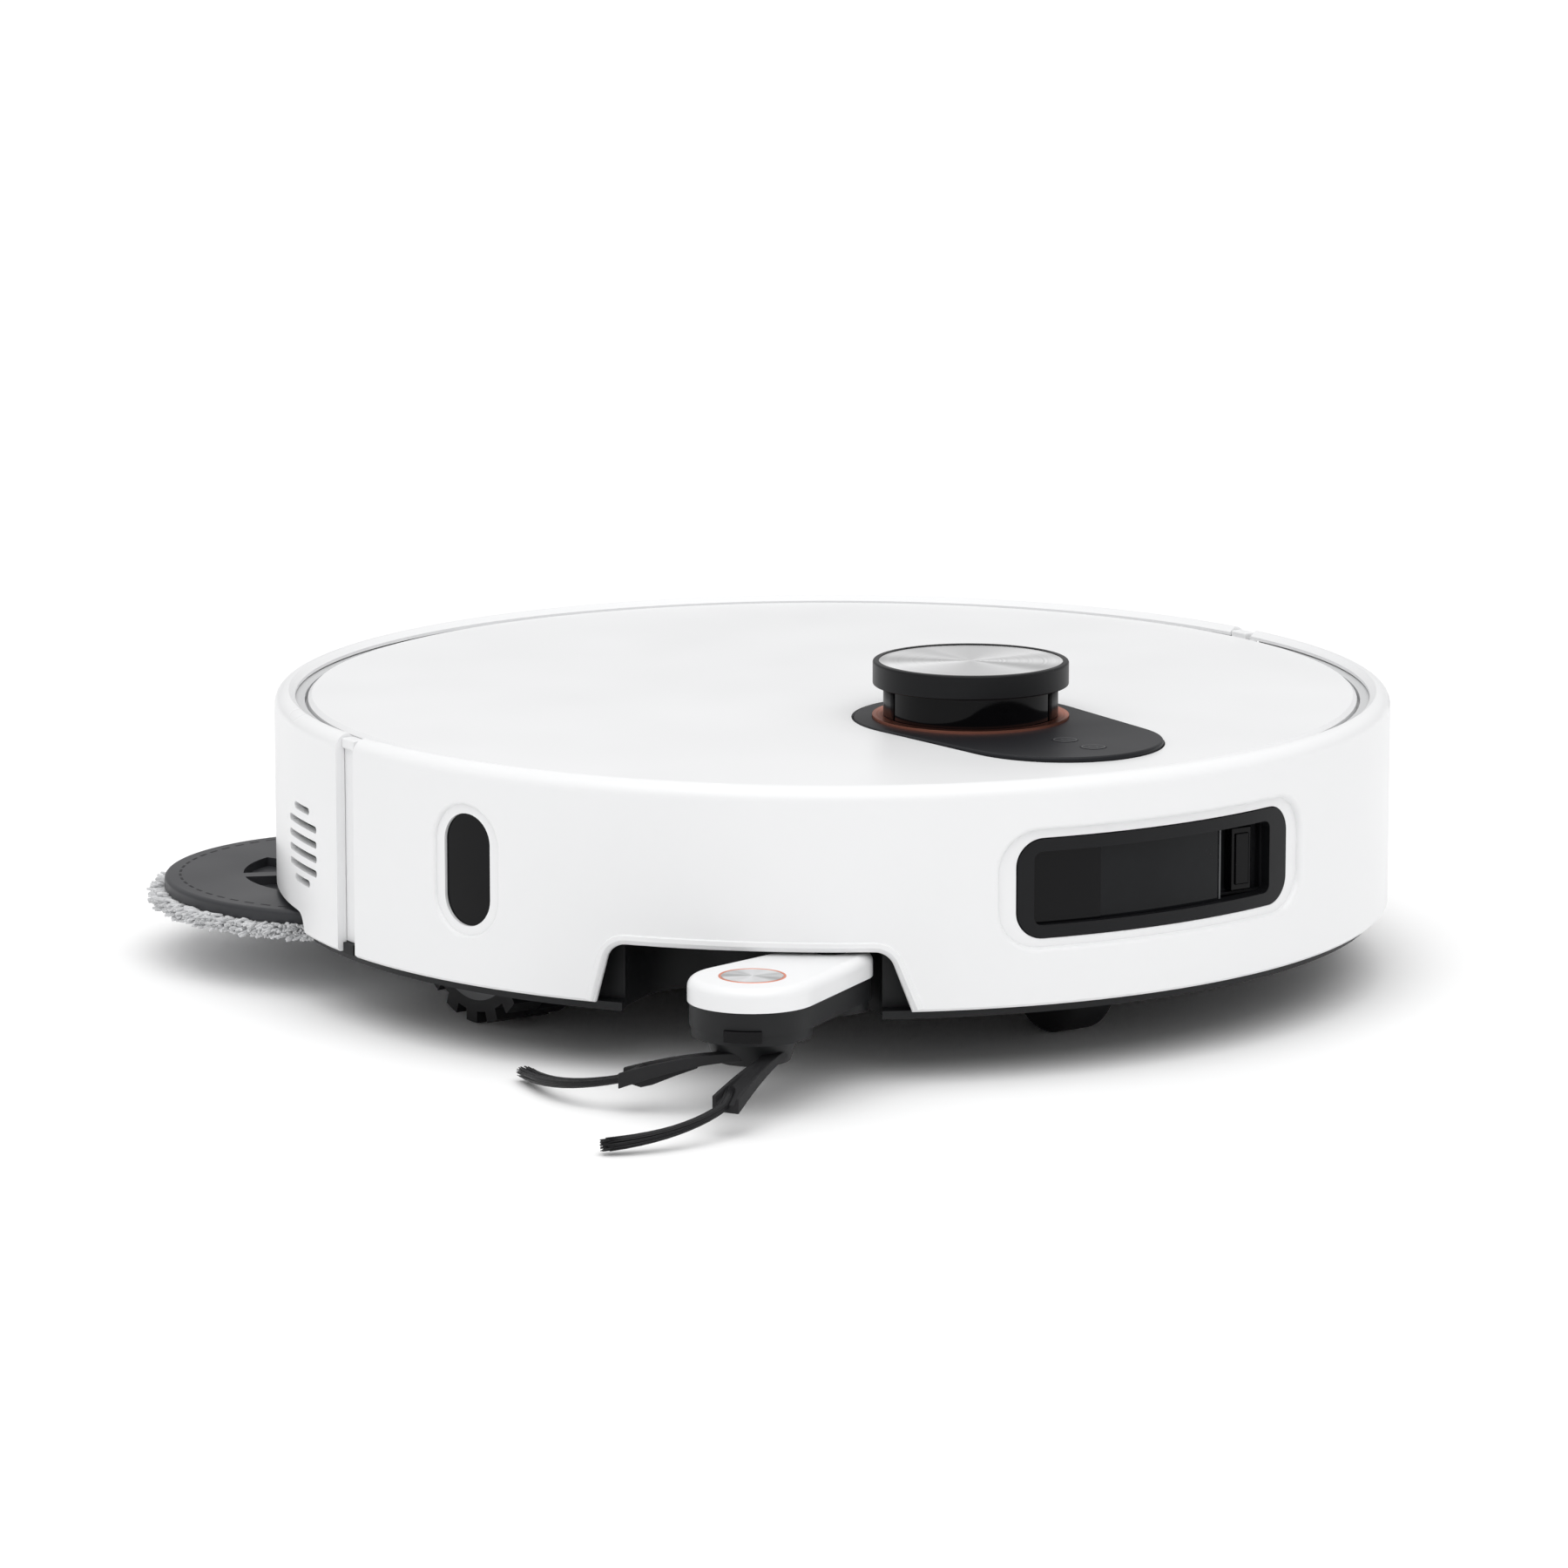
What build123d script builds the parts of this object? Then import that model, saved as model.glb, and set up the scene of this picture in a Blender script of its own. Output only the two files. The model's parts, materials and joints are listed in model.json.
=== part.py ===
from build123d import *
import math
import os

os.makedirs("parts", exist_ok=True)

# Robotic floor cleaner. Millimetres, +Z up, floor at z = 0, front towards -Y,
# the robot's own right side towards -X, origin on the floor under the body's axis.
# Angles called phi are measured round the body from the front, positive to the robot's right.

# ---- driving dimensions: shell ------------------------------------------------
BODY_R = 175.0
WALL = 3.0
INNER_R = BODY_R - WALL
SKIRT_Z = 21.5
RIM_Z = 88.5
RIM_ROUND = 4.5
LIP_R = 168.5
LIP_UNDER_Z = 85.8
BUMPER_END_PHI = 90.5
REAR_START_PHI = 94.0
LID_R = 164.5
LID_EDGE_Z = 87.0
LID_CROWN = 2.0
LID_THICK = 2.4

# ---- chassis -------------------------------------------------------------------
PLATE_R = 171.0
PLATE_Z = 18.7
PLATE_TOP = 21.2
FRAME_WALL_R = 165.5
FRAME_WALL = 2.5
DECK_UNDER = 80.6
DECK_TOP = 83.0
RING_TOP = 85.4
BAY_ROOF_Z = 28.0
BAY_ROOF_TOP = 30.5

# ---- turret and control panel -------------------------------------------------
TURRET_Y = -73.8
CAP_R = 30.0
CAP_Z = 99.1
TOP_Z = 106.5
NECK_R = 26.4
PANEL_Z = 88.9
PANEL_R = 36.0
PANEL_TIP_R = 32.0
PANEL_TIP_Y = -118.0
KEY_R = 3.9
KEY_YS = {"key_home": -122.0, "key_power": -136.0}

# ---- drive wheels ---------------------------------------------------------------
WHEEL_R = 34.0
WHEEL_W = 22.0
WHEEL_X = 131.0
WHEEL_Y = -12.0
SUSPENSION_Y = -58.0
SUSPENSION_Z = 42.0
PIN_R = 3.0
RUN_GAP = 0.05

# ---- main brush -------------------------------------------------------------------
BRUSH_Y = -48.0
BRUSH_Z = 23.0
BRUSH_R = 21.0
BRUSH_HALF = 80.0

# ---- caster ------------------------------------------------------------------------
CASTER_Y = -122.0
CASTER_R = 17.0
CASTER_W = 16.0

# ---- side brush arm ----------------------------------------------------------------
ARM_PIVOT = (-96.5, -137.0)
ARM_TIP = (-134.0, -151.5)
ARM_TIP_R = 18.8
ARM_END_R = 12.5
ARM_TOP = 38.5
ARM_SEAM = 31.5
ARM_BOTTOM = 21.6
ARM_SWING = -85.0
HUB_BOTTOM = 14.2
BAY_CEILING = 40.5

# ---- mops --------------------------------------------------------------------------
MOP_R = 69.0
MOP_PLATE_R = 66.0
MOP_STOWED = (72.5, 73.0)
MOP_OUT = (-113.5, 92.0)
MOP_PIVOT = (-113.2, 38.9)
MOP_SWING = -50.4
PAD_Z = 17.0
PLATE_MOP_Z = 22.0
PLATE_MOP_TOP = 26.0
CARRIER_R = 15.0
STEM_R = 5.0


def polar(radius, phi):
    """Point on a circle round the body axis, at angle phi from the front."""
    a = math.radians(phi)
    return (-radius * math.sin(a), -radius * math.cos(a))


def radial_plane(phi):
    """Plane through the body axis: local x runs outwards, local y runs up."""
    a = math.radians(phi)
    return Plane(
        origin=(0, 0, 0),
        x_dir=(-math.sin(a), -math.cos(a), 0),
        z_dir=(-math.cos(a), math.sin(a), 0),
    )


def facing_plane(phi, radius, z=0.0):
    """Plane that faces outwards at phi: local x is sideways, local y runs up."""
    a = math.radians(phi)
    x, y = polar(radius, phi)
    return Plane(
        origin=(x, y, z),
        x_dir=(math.cos(a), -math.sin(a), 0),
        z_dir=(-math.sin(a), -math.cos(a), 0),
    )


def turned(point, centre, degrees):
    """A point turned about a centre, anticlockwise seen from above."""
    a = math.radians(degrees)
    dx = point[0] - centre[0]
    dy = point[1] - centre[1]
    return (
        centre[0] + dx * math.cos(a) - dy * math.sin(a),
        centre[1] + dx * math.sin(a) + dy * math.cos(a),
    )


def save(builder, name):
    builder.part.label = name
    export_step(builder.part, f"parts/{name}.step")


def discs(points_and_radii):
    """Circles for a hull, in the sketch that is open."""
    for (x, y), r in points_and_radii:
        with Locations((x, y)):
            Circle(r)


def ring_sector(phi, arc, r_in, r_out, z_low, z_high, mode=Mode.ADD):
    """A piece of ring that starts at phi and runs by arc towards smaller phi."""
    with BuildSketch(radial_plane(phi)) as section:
        with Locations(((r_in + r_out) / 2, (z_low + z_high) / 2)):
            Rectangle(r_out - r_in, z_high - z_low)
    revolve(section.sketch, axis=Axis.Z, revolution_arc=arc, mode=mode)


def shell_wall(phi, arc):
    """The outer wall with its rounded rim and inward lip."""
    with BuildSketch(radial_plane(phi)) as section:
        with BuildLine():
            Polyline(
                (LIP_R, RIM_Z - 1.7),
                (LIP_R, LIP_UNDER_Z),
                (INNER_R, LIP_UNDER_Z),
                (INNER_R, SKIRT_Z),
                (BODY_R - 0.8, SKIRT_Z),
                (BODY_R, SKIRT_Z + 0.8),
                (BODY_R, RIM_Z - RIM_ROUND),
            )
            RadiusArc((BODY_R, RIM_Z - RIM_ROUND), (BODY_R - RIM_ROUND, RIM_Z), -RIM_ROUND)
            Line((BODY_R - RIM_ROUND, RIM_Z), (LIP_R, RIM_Z - 1.7))
        make_face()
    revolve(section.sketch, axis=Axis.Z, revolution_arc=arc)


# The path of the mop centre, and of the side brush hub, as a few points along their arcs.
MOP_PATH = [turned(MOP_OUT, MOP_PIVOT, MOP_SWING * i / 4) for i in range(5)]
ARM_PATH = [turned(ARM_TIP, ARM_PIVOT, ARM_SWING * i / 6) for i in range(7)]
MOP_BAY = [(p, MOP_R + 4.5) for p in MOP_PATH]
LEFT_BAY = [(MOP_STOWED, MOP_R + 4.5)]


# ================================ shell ========================================

FRONT_WINDOW_Z = 56.2
FRONT_WINDOW_H = 29.5
FRONT_WINDOW_HALF = 50.0
RECESS_H = 35.0
RECESS_HALF = 55.5
SIDE_WINDOW_PHI = 73.5
SIDE_WINDOW_Z = 56.2
SIDE_WINDOW_W = 17.4
SIDE_WINDOW_H = 33.7
NOTCH_PHI = 43.0
NOTCH_TOP = 39.5

with BuildPart() as bumper:
    shell_wall(BUMPER_END_PHI, 2 * BUMPER_END_PHI)
    # Notch for the side brush arm, on the robot's right.
    with BuildSketch(facing_plane(NOTCH_PHI, BODY_R + 8)):
        with BuildLine():
            FilletPolyline(
                (-47.4, SKIRT_Z - 4), (-41.6, NOTCH_TOP), (40.4, NOTCH_TOP), (48.6, SKIRT_Z - 4),
                radius=6.0,
            )
            Line((48.6, SKIRT_Z - 4), (-47.4, SKIRT_Z - 4))
        make_face()
    extrude(amount=-60, mode=Mode.SUBTRACT)
    # Opening behind the front window.
    with BuildSketch(facing_plane(0, BODY_R + 8, FRONT_WINDOW_Z)):
        RectangleRounded(2 * FRONT_WINDOW_HALF + 0.6, FRONT_WINDOW_H + 0.6, 8.3)
    extrude(amount=-40, mode=Mode.SUBTRACT)
    # Stadium opening for the side sensor window.
    with BuildSketch(facing_plane(SIDE_WINDOW_PHI, BODY_R + 8, SIDE_WINDOW_Z)):
        SlotOverall(SIDE_WINDOW_H + 0.4, SIDE_WINDOW_W + 0.4, rotation=90)
    extrude(amount=-40, mode=Mode.SUBTRACT)

# The sunk surrounds of both windows follow the curve of the wall.
with BuildPart() as front_surround:
    with BuildSketch(facing_plane(0, BODY_R + 8, FRONT_WINDOW_Z)):
        RectangleRounded(2 * RECESS_HALF, RECESS_H, 12)
    extrude(amount=-40)
    with BuildSketch(Plane.XY):
        Circle(BODY_R - 1.9)
    extrude(amount=200, mode=Mode.SUBTRACT)

with BuildPart() as side_surround:
    with BuildSketch(facing_plane(SIDE_WINDOW_PHI, BODY_R + 8, SIDE_WINDOW_Z)):
        SlotOverall(39.5, 24.4, rotation=90)
    extrude(amount=-30)
    with BuildSketch(Plane.XY):
        Circle(BODY_R - 1.2)
    extrude(amount=200, mode=Mode.SUBTRACT)



def outer_edges(shell, phi_low, phi_high, z_low, z_high):
    """Edges on the outside of a round wall, between two angles and two heights."""
    chosen = ShapeList()
    for edge in shell.edges():
        points = [edge.position_at(t) for t in (0, 0.5, 1)]
        on_wall = all(abs(math.hypot(p.X, p.Y) - BODY_R) < 0.05 for p in points)
        phi = math.degrees(math.atan2(-points[1].X, -points[1].Y))
        ends_inside = all(z_low - 6 <= p.Z <= z_high + 6 for p in points)
        if on_wall and ends_inside and phi_low <= phi <= phi_high and z_low <= points[1].Z <= z_high:
            chosen.append(edge)
    return chosen


with bumper:
    add(front_surround.part, mode=Mode.SUBTRACT)
    add(side_surround.part, mode=Mode.SUBTRACT)
    # Rounded lips round the front surround, the side surround and the notch.
    fillet(outer_edges(bumper.part, -19, 19, 36, 75), 1.6)
    fillet(outer_edges(bumper.part, 69, 78, 36, 77), 1.0)
    fillet(outer_edges(bumper.part, 28, 58, 24, 40), 1.2)
save(bumper, "bumper")

with BuildPart() as front_bezel:
    ring_sector(20, 40, 168.2, 173.4, 40, 73)
    with BuildSketch(facing_plane(0, BODY_R + 8, FRONT_WINDOW_Z)):
        RectangleRounded(2 * FRONT_WINDOW_HALF, FRONT_WINDOW_H, 8)
    extrude(amount=-40, mode=Mode.INTERSECT)
    with BuildSketch(facing_plane(0, BODY_R + 8, FRONT_WINDOW_Z)):
        with Locations((-1.5, 0)):
            RectangleRounded(87, 22, 2.5)
    extrude(amount=-40, mode=Mode.SUBTRACT)
save(front_bezel, "front_bezel")

with BuildPart() as front_glass:
    ring_sector(20, 40, 169.2, 170.8, 40, 73)
    with BuildSketch(facing_plane(0, BODY_R + 8, FRONT_WINDOW_Z)):
        with Locations((-1.5, 0)):
            RectangleRounded(87, 22, 2.5)
    extrude(amount=-40, mode=Mode.INTERSECT)
save(front_glass, "front_glass")

with BuildPart() as side_window:
    ring_sector(SIDE_WINDOW_PHI + 5, 10, 168.5, 172.9, 36, 76)
    with BuildSketch(facing_plane(SIDE_WINDOW_PHI, BODY_R + 8, SIDE_WINDOW_Z)):
        SlotOverall(SIDE_WINDOW_H, SIDE_WINDOW_W, rotation=90)
    extrude(amount=-40, mode=Mode.INTERSECT)
save(side_window, "side_window")

VENT_ZS = [38.3, 42.5, 47.0, 51.5, 56.2, 60.9]
VENT_H = 2.2
VENT_PHI = 103.2
VENT_LONG = 26.5
VENT_SHORT = 14.5
ARCH_PHI = 129.0
CONTACT_X = 24.0

with BuildPart() as rear_shell:
    shell_wall(-REAR_START_PHI, 360 - 2 * REAR_START_PHI)
    # Ribs that seat the shell on the chassis frame.
    for rib_phi in (-100, -158, -202, -260):
        ring_sector(rib_phi + 3, 6, FRAME_WALL_R, INNER_R + 0.5, 66, 80)
    for side in (1, -1):
        # Arch that the mop passes under.
        with BuildSketch(facing_plane(side * ARCH_PHI, BODY_R + 8)):
            with BuildLine():
                FilletPolyline(
                    (-80, SKIRT_Z - 4), (-75, BAY_ROOF_Z), (75, BAY_ROOF_Z), (80, SKIRT_Z - 4),
                    radius=5.0,
                )
                Line((80, SKIRT_Z - 4), (-80, SKIRT_Z - 4))
            make_face()
        extrude(amount=-75, mode=Mode.SUBTRACT)
        # Cooling slots.
        for z in VENT_ZS:
            slot = VENT_SHORT if z in (VENT_ZS[0], VENT_ZS[-1]) else VENT_LONG
            with BuildSketch(facing_plane(side * VENT_PHI, BODY_R + 6, z)):
                SlotOverall(slot, VENT_H)
            extrude(amount=-14, mode=Mode.SUBTRACT)
        # Windows for the charging contacts at the back.
        with BuildSketch(facing_plane(180, BODY_R + 6, 36)):
            with Locations((side * CONTACT_X, 0)):
                SlotOverall(20.4, 9.4, rotation=90)
        extrude(amount=-14, mode=Mode.SUBTRACT)
save(rear_shell, "rear_shell")

with BuildPart() as charge_contacts:
    with BuildSketch(facing_plane(180, 165.5, 36)):
        with Locations((CONTACT_X, 0), (-CONTACT_X, 0)):
            SlotOverall(20, 9, rotation=90)
    extrude(amount=8.4)
save(charge_contacts, "charge_contacts")

# White strips that close the grooves between bumper and rear shell.
with BuildPart() as groove_posts:
    ring_sector(95.4, 5.0, FRAME_WALL_R, 170.9, 25.5, DECK_UNDER)
    ring_sector(-90.4, 5.0, FRAME_WALL_R, 170.9, 25.5, DECK_UNDER)
save(groove_posts, "groove_posts")

with BuildPart() as groove_feet:
    ring_sector(93.7, 2.0, 168.5, 173.6, PLATE_TOP, 24.4)
    ring_sector(-91.7, 2.0, 168.5, 173.6, PLATE_TOP, 24.4)
save(groove_feet, "groove_feet")


# ================================ chassis ======================================

FRONT_COLUMNS = [(-57, -140), (57, -140)]
MIDDLE_COLUMNS = [(-30, 4), (30, 4)]
REAR_COLUMNS = [(-24, 159), (24, 159)]
SWEEP_R = CARRIER_R + 5.0
WELL_LOW_X = 94.0
WELL_HIGH_X = 145.0
WELL_FRONT = -66.0
WELL_BACK = 26.0

with BuildPart() as lower_chassis:
    # Base plate.
    with BuildSketch(Plane.XY.offset(PLATE_Z)):
        Circle(PLATE_R)
    extrude(amount=PLATE_TOP - PLATE_Z)
    # Raised roofs over the mops, with their side walls.
    for bay in (MOP_BAY, LEFT_BAY):
        with BuildSketch(Plane.XY.offset(PLATE_Z)):
            discs([(p, r + 2.0) for p, r in bay])
            make_hull()
            with Locations((0, 0)):
                Circle(FRAME_WALL_R - 0.5, mode=Mode.INTERSECT)
        extrude(amount=BAY_ROOF_TOP - PLATE_Z)
    for bay in (MOP_BAY, LEFT_BAY):
        with BuildSketch(Plane.XY.offset(PLATE_Z - 1)):
            discs(bay)
            make_hull()
        extrude(amount=BAY_ROOF_Z - PLATE_Z + 1, mode=Mode.SUBTRACT)
    # Frame wall that carries the deck.
    with BuildSketch(Plane.XY.offset(PLATE_TOP)):
        Circle(FRAME_WALL_R)
        Circle(FRAME_WALL_R - FRAME_WALL, mode=Mode.SUBTRACT)
    extrude(amount=DECK_UNDER - PLATE_TOP)
    # Columns between plate and deck.
    with BuildSketch(Plane.XY.offset(PLATE_TOP)):
        with Locations(FRONT_COLUMNS + REAR_COLUMNS):
            Circle(4)
    extrude(amount=DECK_UNDER - PLATE_TOP)
    # Shorter columns under the dust box.
    with BuildSketch(Plane.XY.offset(PLATE_TOP)):
        with Locations(MIDDLE_COLUMNS):
            Circle(4)
    extrude(amount=49.9 - PLATE_TOP)
    # Post that the swinging mop arm turns on.
    with BuildSketch(Plane.XY.offset(BAY_ROOF_Z)):
        with Locations(MOP_PIVOT):
            Circle(9)
    extrude(amount=49.8 - BAY_ROOF_Z)
    with BuildSketch(Plane.XY.offset(49.8)):
        with Locations(MOP_PIVOT):
            Circle(6)
    extrude(amount=12)
    # Guide sleeve of the fixed left mop carrier.
    with BuildSketch(Plane.XY.offset(BAY_ROOF_Z)):
        with Locations(MOP_STOWED):
            Circle(CARRIER_R + 3)
    extrude(amount=22)
    with BuildSketch(Plane.XY.offset(BAY_ROOF_Z - 1)):
        with Locations(MOP_STOWED):
            Circle(CARRIER_R + 0.4)
    extrude(amount=30, mode=Mode.SUBTRACT)
    # Openings: swing of the right mop carrier, mop arches, wheels, main brush, caster, arm.
    with BuildSketch(Plane.XY.offset(PLATE_Z - 1)):
        discs([(p, SWEEP_R) for p in MOP_PATH])
        make_hull()
    extrude(amount=55, mode=Mode.SUBTRACT)
    for bay in (MOP_BAY, LEFT_BAY):
        with BuildSketch(Plane.XY.offset(PLATE_Z - 1)):
            discs(bay)
            make_hull()
            Circle(FRAME_WALL_R - FRAME_WALL - 3, mode=Mode.SUBTRACT)
        extrude(amount=BAY_ROOF_Z - PLATE_Z + 1, mode=Mode.SUBTRACT)
    with BuildSketch(Plane.XY.offset(PLATE_Z - 1)):
        with Locations(
            ((WELL_LOW_X + WELL_HIGH_X) / 2, (WELL_FRONT + WELL_BACK) / 2),
            (-(WELL_LOW_X + WELL_HIGH_X) / 2, (WELL_FRONT + WELL_BACK) / 2),
        ):
            Rectangle(WELL_HIGH_X - WELL_LOW_X, WELL_BACK - WELL_FRONT)
        with Locations((0, BRUSH_Y)):
            Rectangle(2 * BRUSH_HALF + 12, 56)
        with Locations((0, CASTER_Y)):
            Circle(27)
    extrude(amount=14, mode=Mode.SUBTRACT)
    with BuildSketch(Plane.XY.offset(PLATE_Z - 1)):
        discs([(ARM_PIVOT, ARM_END_R + 3)] + [(p, ARM_TIP_R + 3) for p in ARM_PATH])
        make_hull()
    extrude(amount=BAY_CEILING - PLATE_Z + 1, mode=Mode.SUBTRACT)
    # Openings in the frame wall: front sensors, side sensor, cooling slots.
    with BuildSketch(facing_plane(0, BODY_R, FRONT_WINDOW_Z)):
        RectangleRounded(100, 32, 4)
    extrude(amount=-30, mode=Mode.SUBTRACT)
    with BuildSketch(facing_plane(SIDE_WINDOW_PHI, BODY_R, SIDE_WINDOW_Z)):
        RectangleRounded(20, 36, 4)
    extrude(amount=-20, mode=Mode.SUBTRACT)
    for side in (1, -1):
        with BuildSketch(facing_plane(side * VENT_PHI, BODY_R, 49.6)):
            RectangleRounded(26, 28, 4)
        extrude(amount=-20, mode=Mode.SUBTRACT)
save(lower_chassis, "lower_chassis")

DUST_HALF = 46.0
DUST_FRONT = -16.0
DUST_BACK = 74.0

with BuildPart() as deck:
    with BuildSketch(Plane.XY.offset(DECK_UNDER)):
        Circle(169.0)
    extrude(amount=RING_TOP - DECK_UNDER)
    with BuildSketch(Plane.XY.offset(DECK_TOP)):
        Circle(LID_R + 1.0)
    extrude(amount=RING_TOP - DECK_TOP + 1, mode=Mode.SUBTRACT)
    with BuildSketch(Plane.XY.offset(DECK_UNDER - 1)):
        with Locations((0, (DUST_FRONT + DUST_BACK) / 2)):
            RectangleRounded(2 * DUST_HALF + 2, DUST_BACK - DUST_FRONT + 2, 8)
        with Locations((0, TURRET_Y)):
            Circle(32.4)
    extrude(amount=8, mode=Mode.SUBTRACT)
    with BuildSketch(Plane.XY.offset(DECK_UNDER - 1)):
        with Locations([(0, y) for y in KEY_YS.values()]):
            Circle(KEY_R - 1.5)
    extrude(amount=8, mode=Mode.SUBTRACT)
save(deck, "deck")


def panel_outline(gap):
    """Egg-shaped outline round the turret, wider by gap all round."""
    with Locations((0, TURRET_Y)):
        Circle(PANEL_R + gap)
    with Locations((0, PANEL_TIP_Y)):
        Circle(PANEL_TIP_R + gap)
    make_hull()


CROWN_R = (LID_R * LID_R + LID_CROWN * LID_CROWN) / (2 * LID_CROWN)

with BuildPart() as top_cover:
    # Thin crowned disc with a turned-down edge.
    with BuildSketch(Plane.XZ):
        with BuildLine():
            Line((0, LID_EDGE_Z + LID_CROWN), (0, LID_EDGE_Z + LID_CROWN - LID_THICK))
            Line((0, LID_EDGE_Z + LID_CROWN - LID_THICK), (LID_R - 3, LID_EDGE_Z - LID_THICK))
            Polyline(
                (LID_R - 3, LID_EDGE_Z - LID_THICK),
                (LID_R - 3, DECK_TOP + 0.2),
                (LID_R, DECK_TOP + 0.2),
                (LID_R, LID_EDGE_Z - 1.2),
                (LID_R - 1.2, LID_EDGE_Z),
            )
            RadiusArc((LID_R - 1.2, LID_EDGE_Z), (0, LID_EDGE_Z + LID_CROWN), -CROWN_R)
        make_face()
    revolve(axis=Axis.Z)
    with BuildSketch(Plane.XY.offset(DECK_TOP - 1)):
        panel_outline(0.5)
    extrude(amount=10, mode=Mode.SUBTRACT)
save(top_cover, "top_cover")

with BuildPart() as control_panel:
    with BuildSketch(Plane.XY.offset(DECK_TOP)):
        panel_outline(0)
    extrude(amount=PANEL_Z - DECK_TOP)
    fillet(control_panel.faces().sort_by(Axis.Z)[-1].edges(), 0.8)
    with BuildSketch(Plane.XY.offset(DECK_TOP - 1)):
        with Locations((0, TURRET_Y)):
            Circle(NECK_R + 0.4)
        with Locations([(0, y) for y in KEY_YS.values()]):
            Circle(KEY_R + 0.15)
    extrude(amount=10, mode=Mode.SUBTRACT)
    # Seat of the accent ring.
    with BuildSketch(Plane.XY.offset(PANEL_Z - 1.2)):
        with Locations((0, TURRET_Y)):
            Circle(30.2)
    extrude(amount=4, mode=Mode.SUBTRACT)
    # Room under the panel for the turret's flange.
    with BuildSketch(Plane.XY.offset(DECK_TOP - 1)):
        with Locations((0, TURRET_Y)):
            Circle(31.5)
    extrude(amount=3.2, mode=Mode.SUBTRACT)
save(control_panel, "control_panel")

with BuildPart() as accent_ring:
    with BuildSketch(Plane.XY.offset(PANEL_Z - 1.2)):
        with Locations((0, TURRET_Y)):
            Circle(30.1)
            Circle(NECK_R + 0.4, mode=Mode.SUBTRACT)
    extrude(amount=2.0)
save(accent_ring, "accent_ring")

for key_name, key_y in KEY_YS.items():
    with BuildPart() as key:
        with BuildSketch(Plane.XY.offset(DECK_TOP + 1.6)):
            with Locations((0, key_y)):
                Circle(KEY_R)
        extrude(amount=PANEL_Z + 0.1 - DECK_TOP - 1.6)
        with BuildSketch(Plane.XY.offset(77.4)):
            with Locations((0, key_y)):
                Circle(1.6)
        extrude(amount=DECK_TOP + 1.6 - 77.4)
    save(key, key_name)


# ================================ turret =======================================

with BuildPart() as turret_cap:
    with BuildSketch(Plane.XY.offset(CAP_Z)):
        with Locations((0, TURRET_Y)):
            Circle(CAP_R)
    extrude(amount=TOP_Z - CAP_Z)
    fillet(turret_cap.edges().group_by(Axis.Z)[-1], 0.7)
    fillet(turret_cap.edges().group_by(Axis.Z)[0], 0.5)
    with BuildSketch(Plane.XY.offset(CAP_Z - 1)):
        with Locations((0, TURRET_Y)):
            Circle(NECK_R)
    extrude(amount=4.4, mode=Mode.SUBTRACT)
    with BuildSketch(Plane.XY.offset(TOP_Z - 0.9)):
        with Locations((0, TURRET_Y)):
            Circle(28.2)
    extrude(amount=2, mode=Mode.SUBTRACT)
save(turret_cap, "turret_cap")

with BuildPart() as turret_disc:
    with BuildSketch(Plane.XY.offset(TOP_Z - 0.9)):
        with Locations((0, TURRET_Y)):
            Circle(28.1)
    extrude(amount=0.6)
save(turret_disc, "turret_disc")

with BuildPart() as turret_window:
    with BuildSketch(Plane.XY.offset(82.2)):
        with Locations((0, TURRET_Y)):
            Circle(NECK_R)
    extrude(amount=CAP_Z + 3.4 - 82.2)
    with BuildSketch(Plane.XY.offset(82.2)):
        with Locations((0, TURRET_Y)):
            Circle(30.5)
    extrude(amount=1.6)
    with BuildSketch(Plane.XY.offset(81)):
        with Locations((0, TURRET_Y)):
            Circle(NECK_R - 1.8)
    extrude(amount=30, mode=Mode.SUBTRACT)
save(turret_window, "turret_window")

with BuildPart() as lidar_rotor:
    with BuildSketch(Plane.XY.offset(70.0)):
        with Locations((0, TURRET_Y)):
            Circle(23.4)
    extrude(amount=28.4)
    # Two sighting tubes in the front of the rotor, and the spindle bore below.
    with BuildSketch(Plane.XZ.offset(-TURRET_Y)):
        with Locations((-9, 93), (9, 93)):
            Circle(4.2)
    extrude(amount=30, mode=Mode.SUBTRACT)
    with BuildSketch(Plane.XY.offset(69.0)):
        with Locations((0, TURRET_Y)):
            Circle(4.05)
    extrude(amount=14, mode=Mode.SUBTRACT)
save(lidar_rotor, "lidar_rotor")

with BuildPart() as lidar_base:
    with BuildSketch(Plane.XY.offset(62)):
        with Locations((0, TURRET_Y)):
            Circle(34.0)
    extrude(amount=DECK_UNDER - 62)
    with BuildSketch(Plane.XY.offset(65)):
        with Locations((0, TURRET_Y)):
            Circle(31.4)
            Circle(4.0, mode=Mode.SUBTRACT)
    extrude(amount=30, mode=Mode.SUBTRACT)
    # Spindle motor under the cup.
    with BuildSketch(Plane.XY.offset(53)):
        with Locations((0, TURRET_Y)):
            Circle(13)
    extrude(amount=9)
save(lidar_base, "lidar_base")


# ================================ sensors ======================================

with BuildPart() as front_sensors:
    # Line laser on the left of the window, camera on the right, on one bracket.
    with BuildSketch(Plane.XZ.offset(150)):
        with Locations((-22, 56.2)):
            Rectangle(36, 20)
        with Locations((30, 56.2)):
            Rectangle(18, 20)
    extrude(amount=7)
    with BuildSketch(Plane.XZ.offset(147)):
        with Locations((0, 54)):
            Rectangle(92, 34)
    extrude(amount=3)
    with BuildSketch(Plane.XY.offset(PLATE_TOP)):
        with Locations((-41, -148.5), (41, -148.5)):
            Rectangle(10, 3)
    extrude(amount=17)
    with BuildSketch(Plane.XZ.offset(157)):
        with Locations((30, 56.2)):
            Circle(6)
        with Locations((-22, 56.2)):
            Circle(4)
    extrude(amount=2)
save(front_sensors, "front_sensors")

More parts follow.
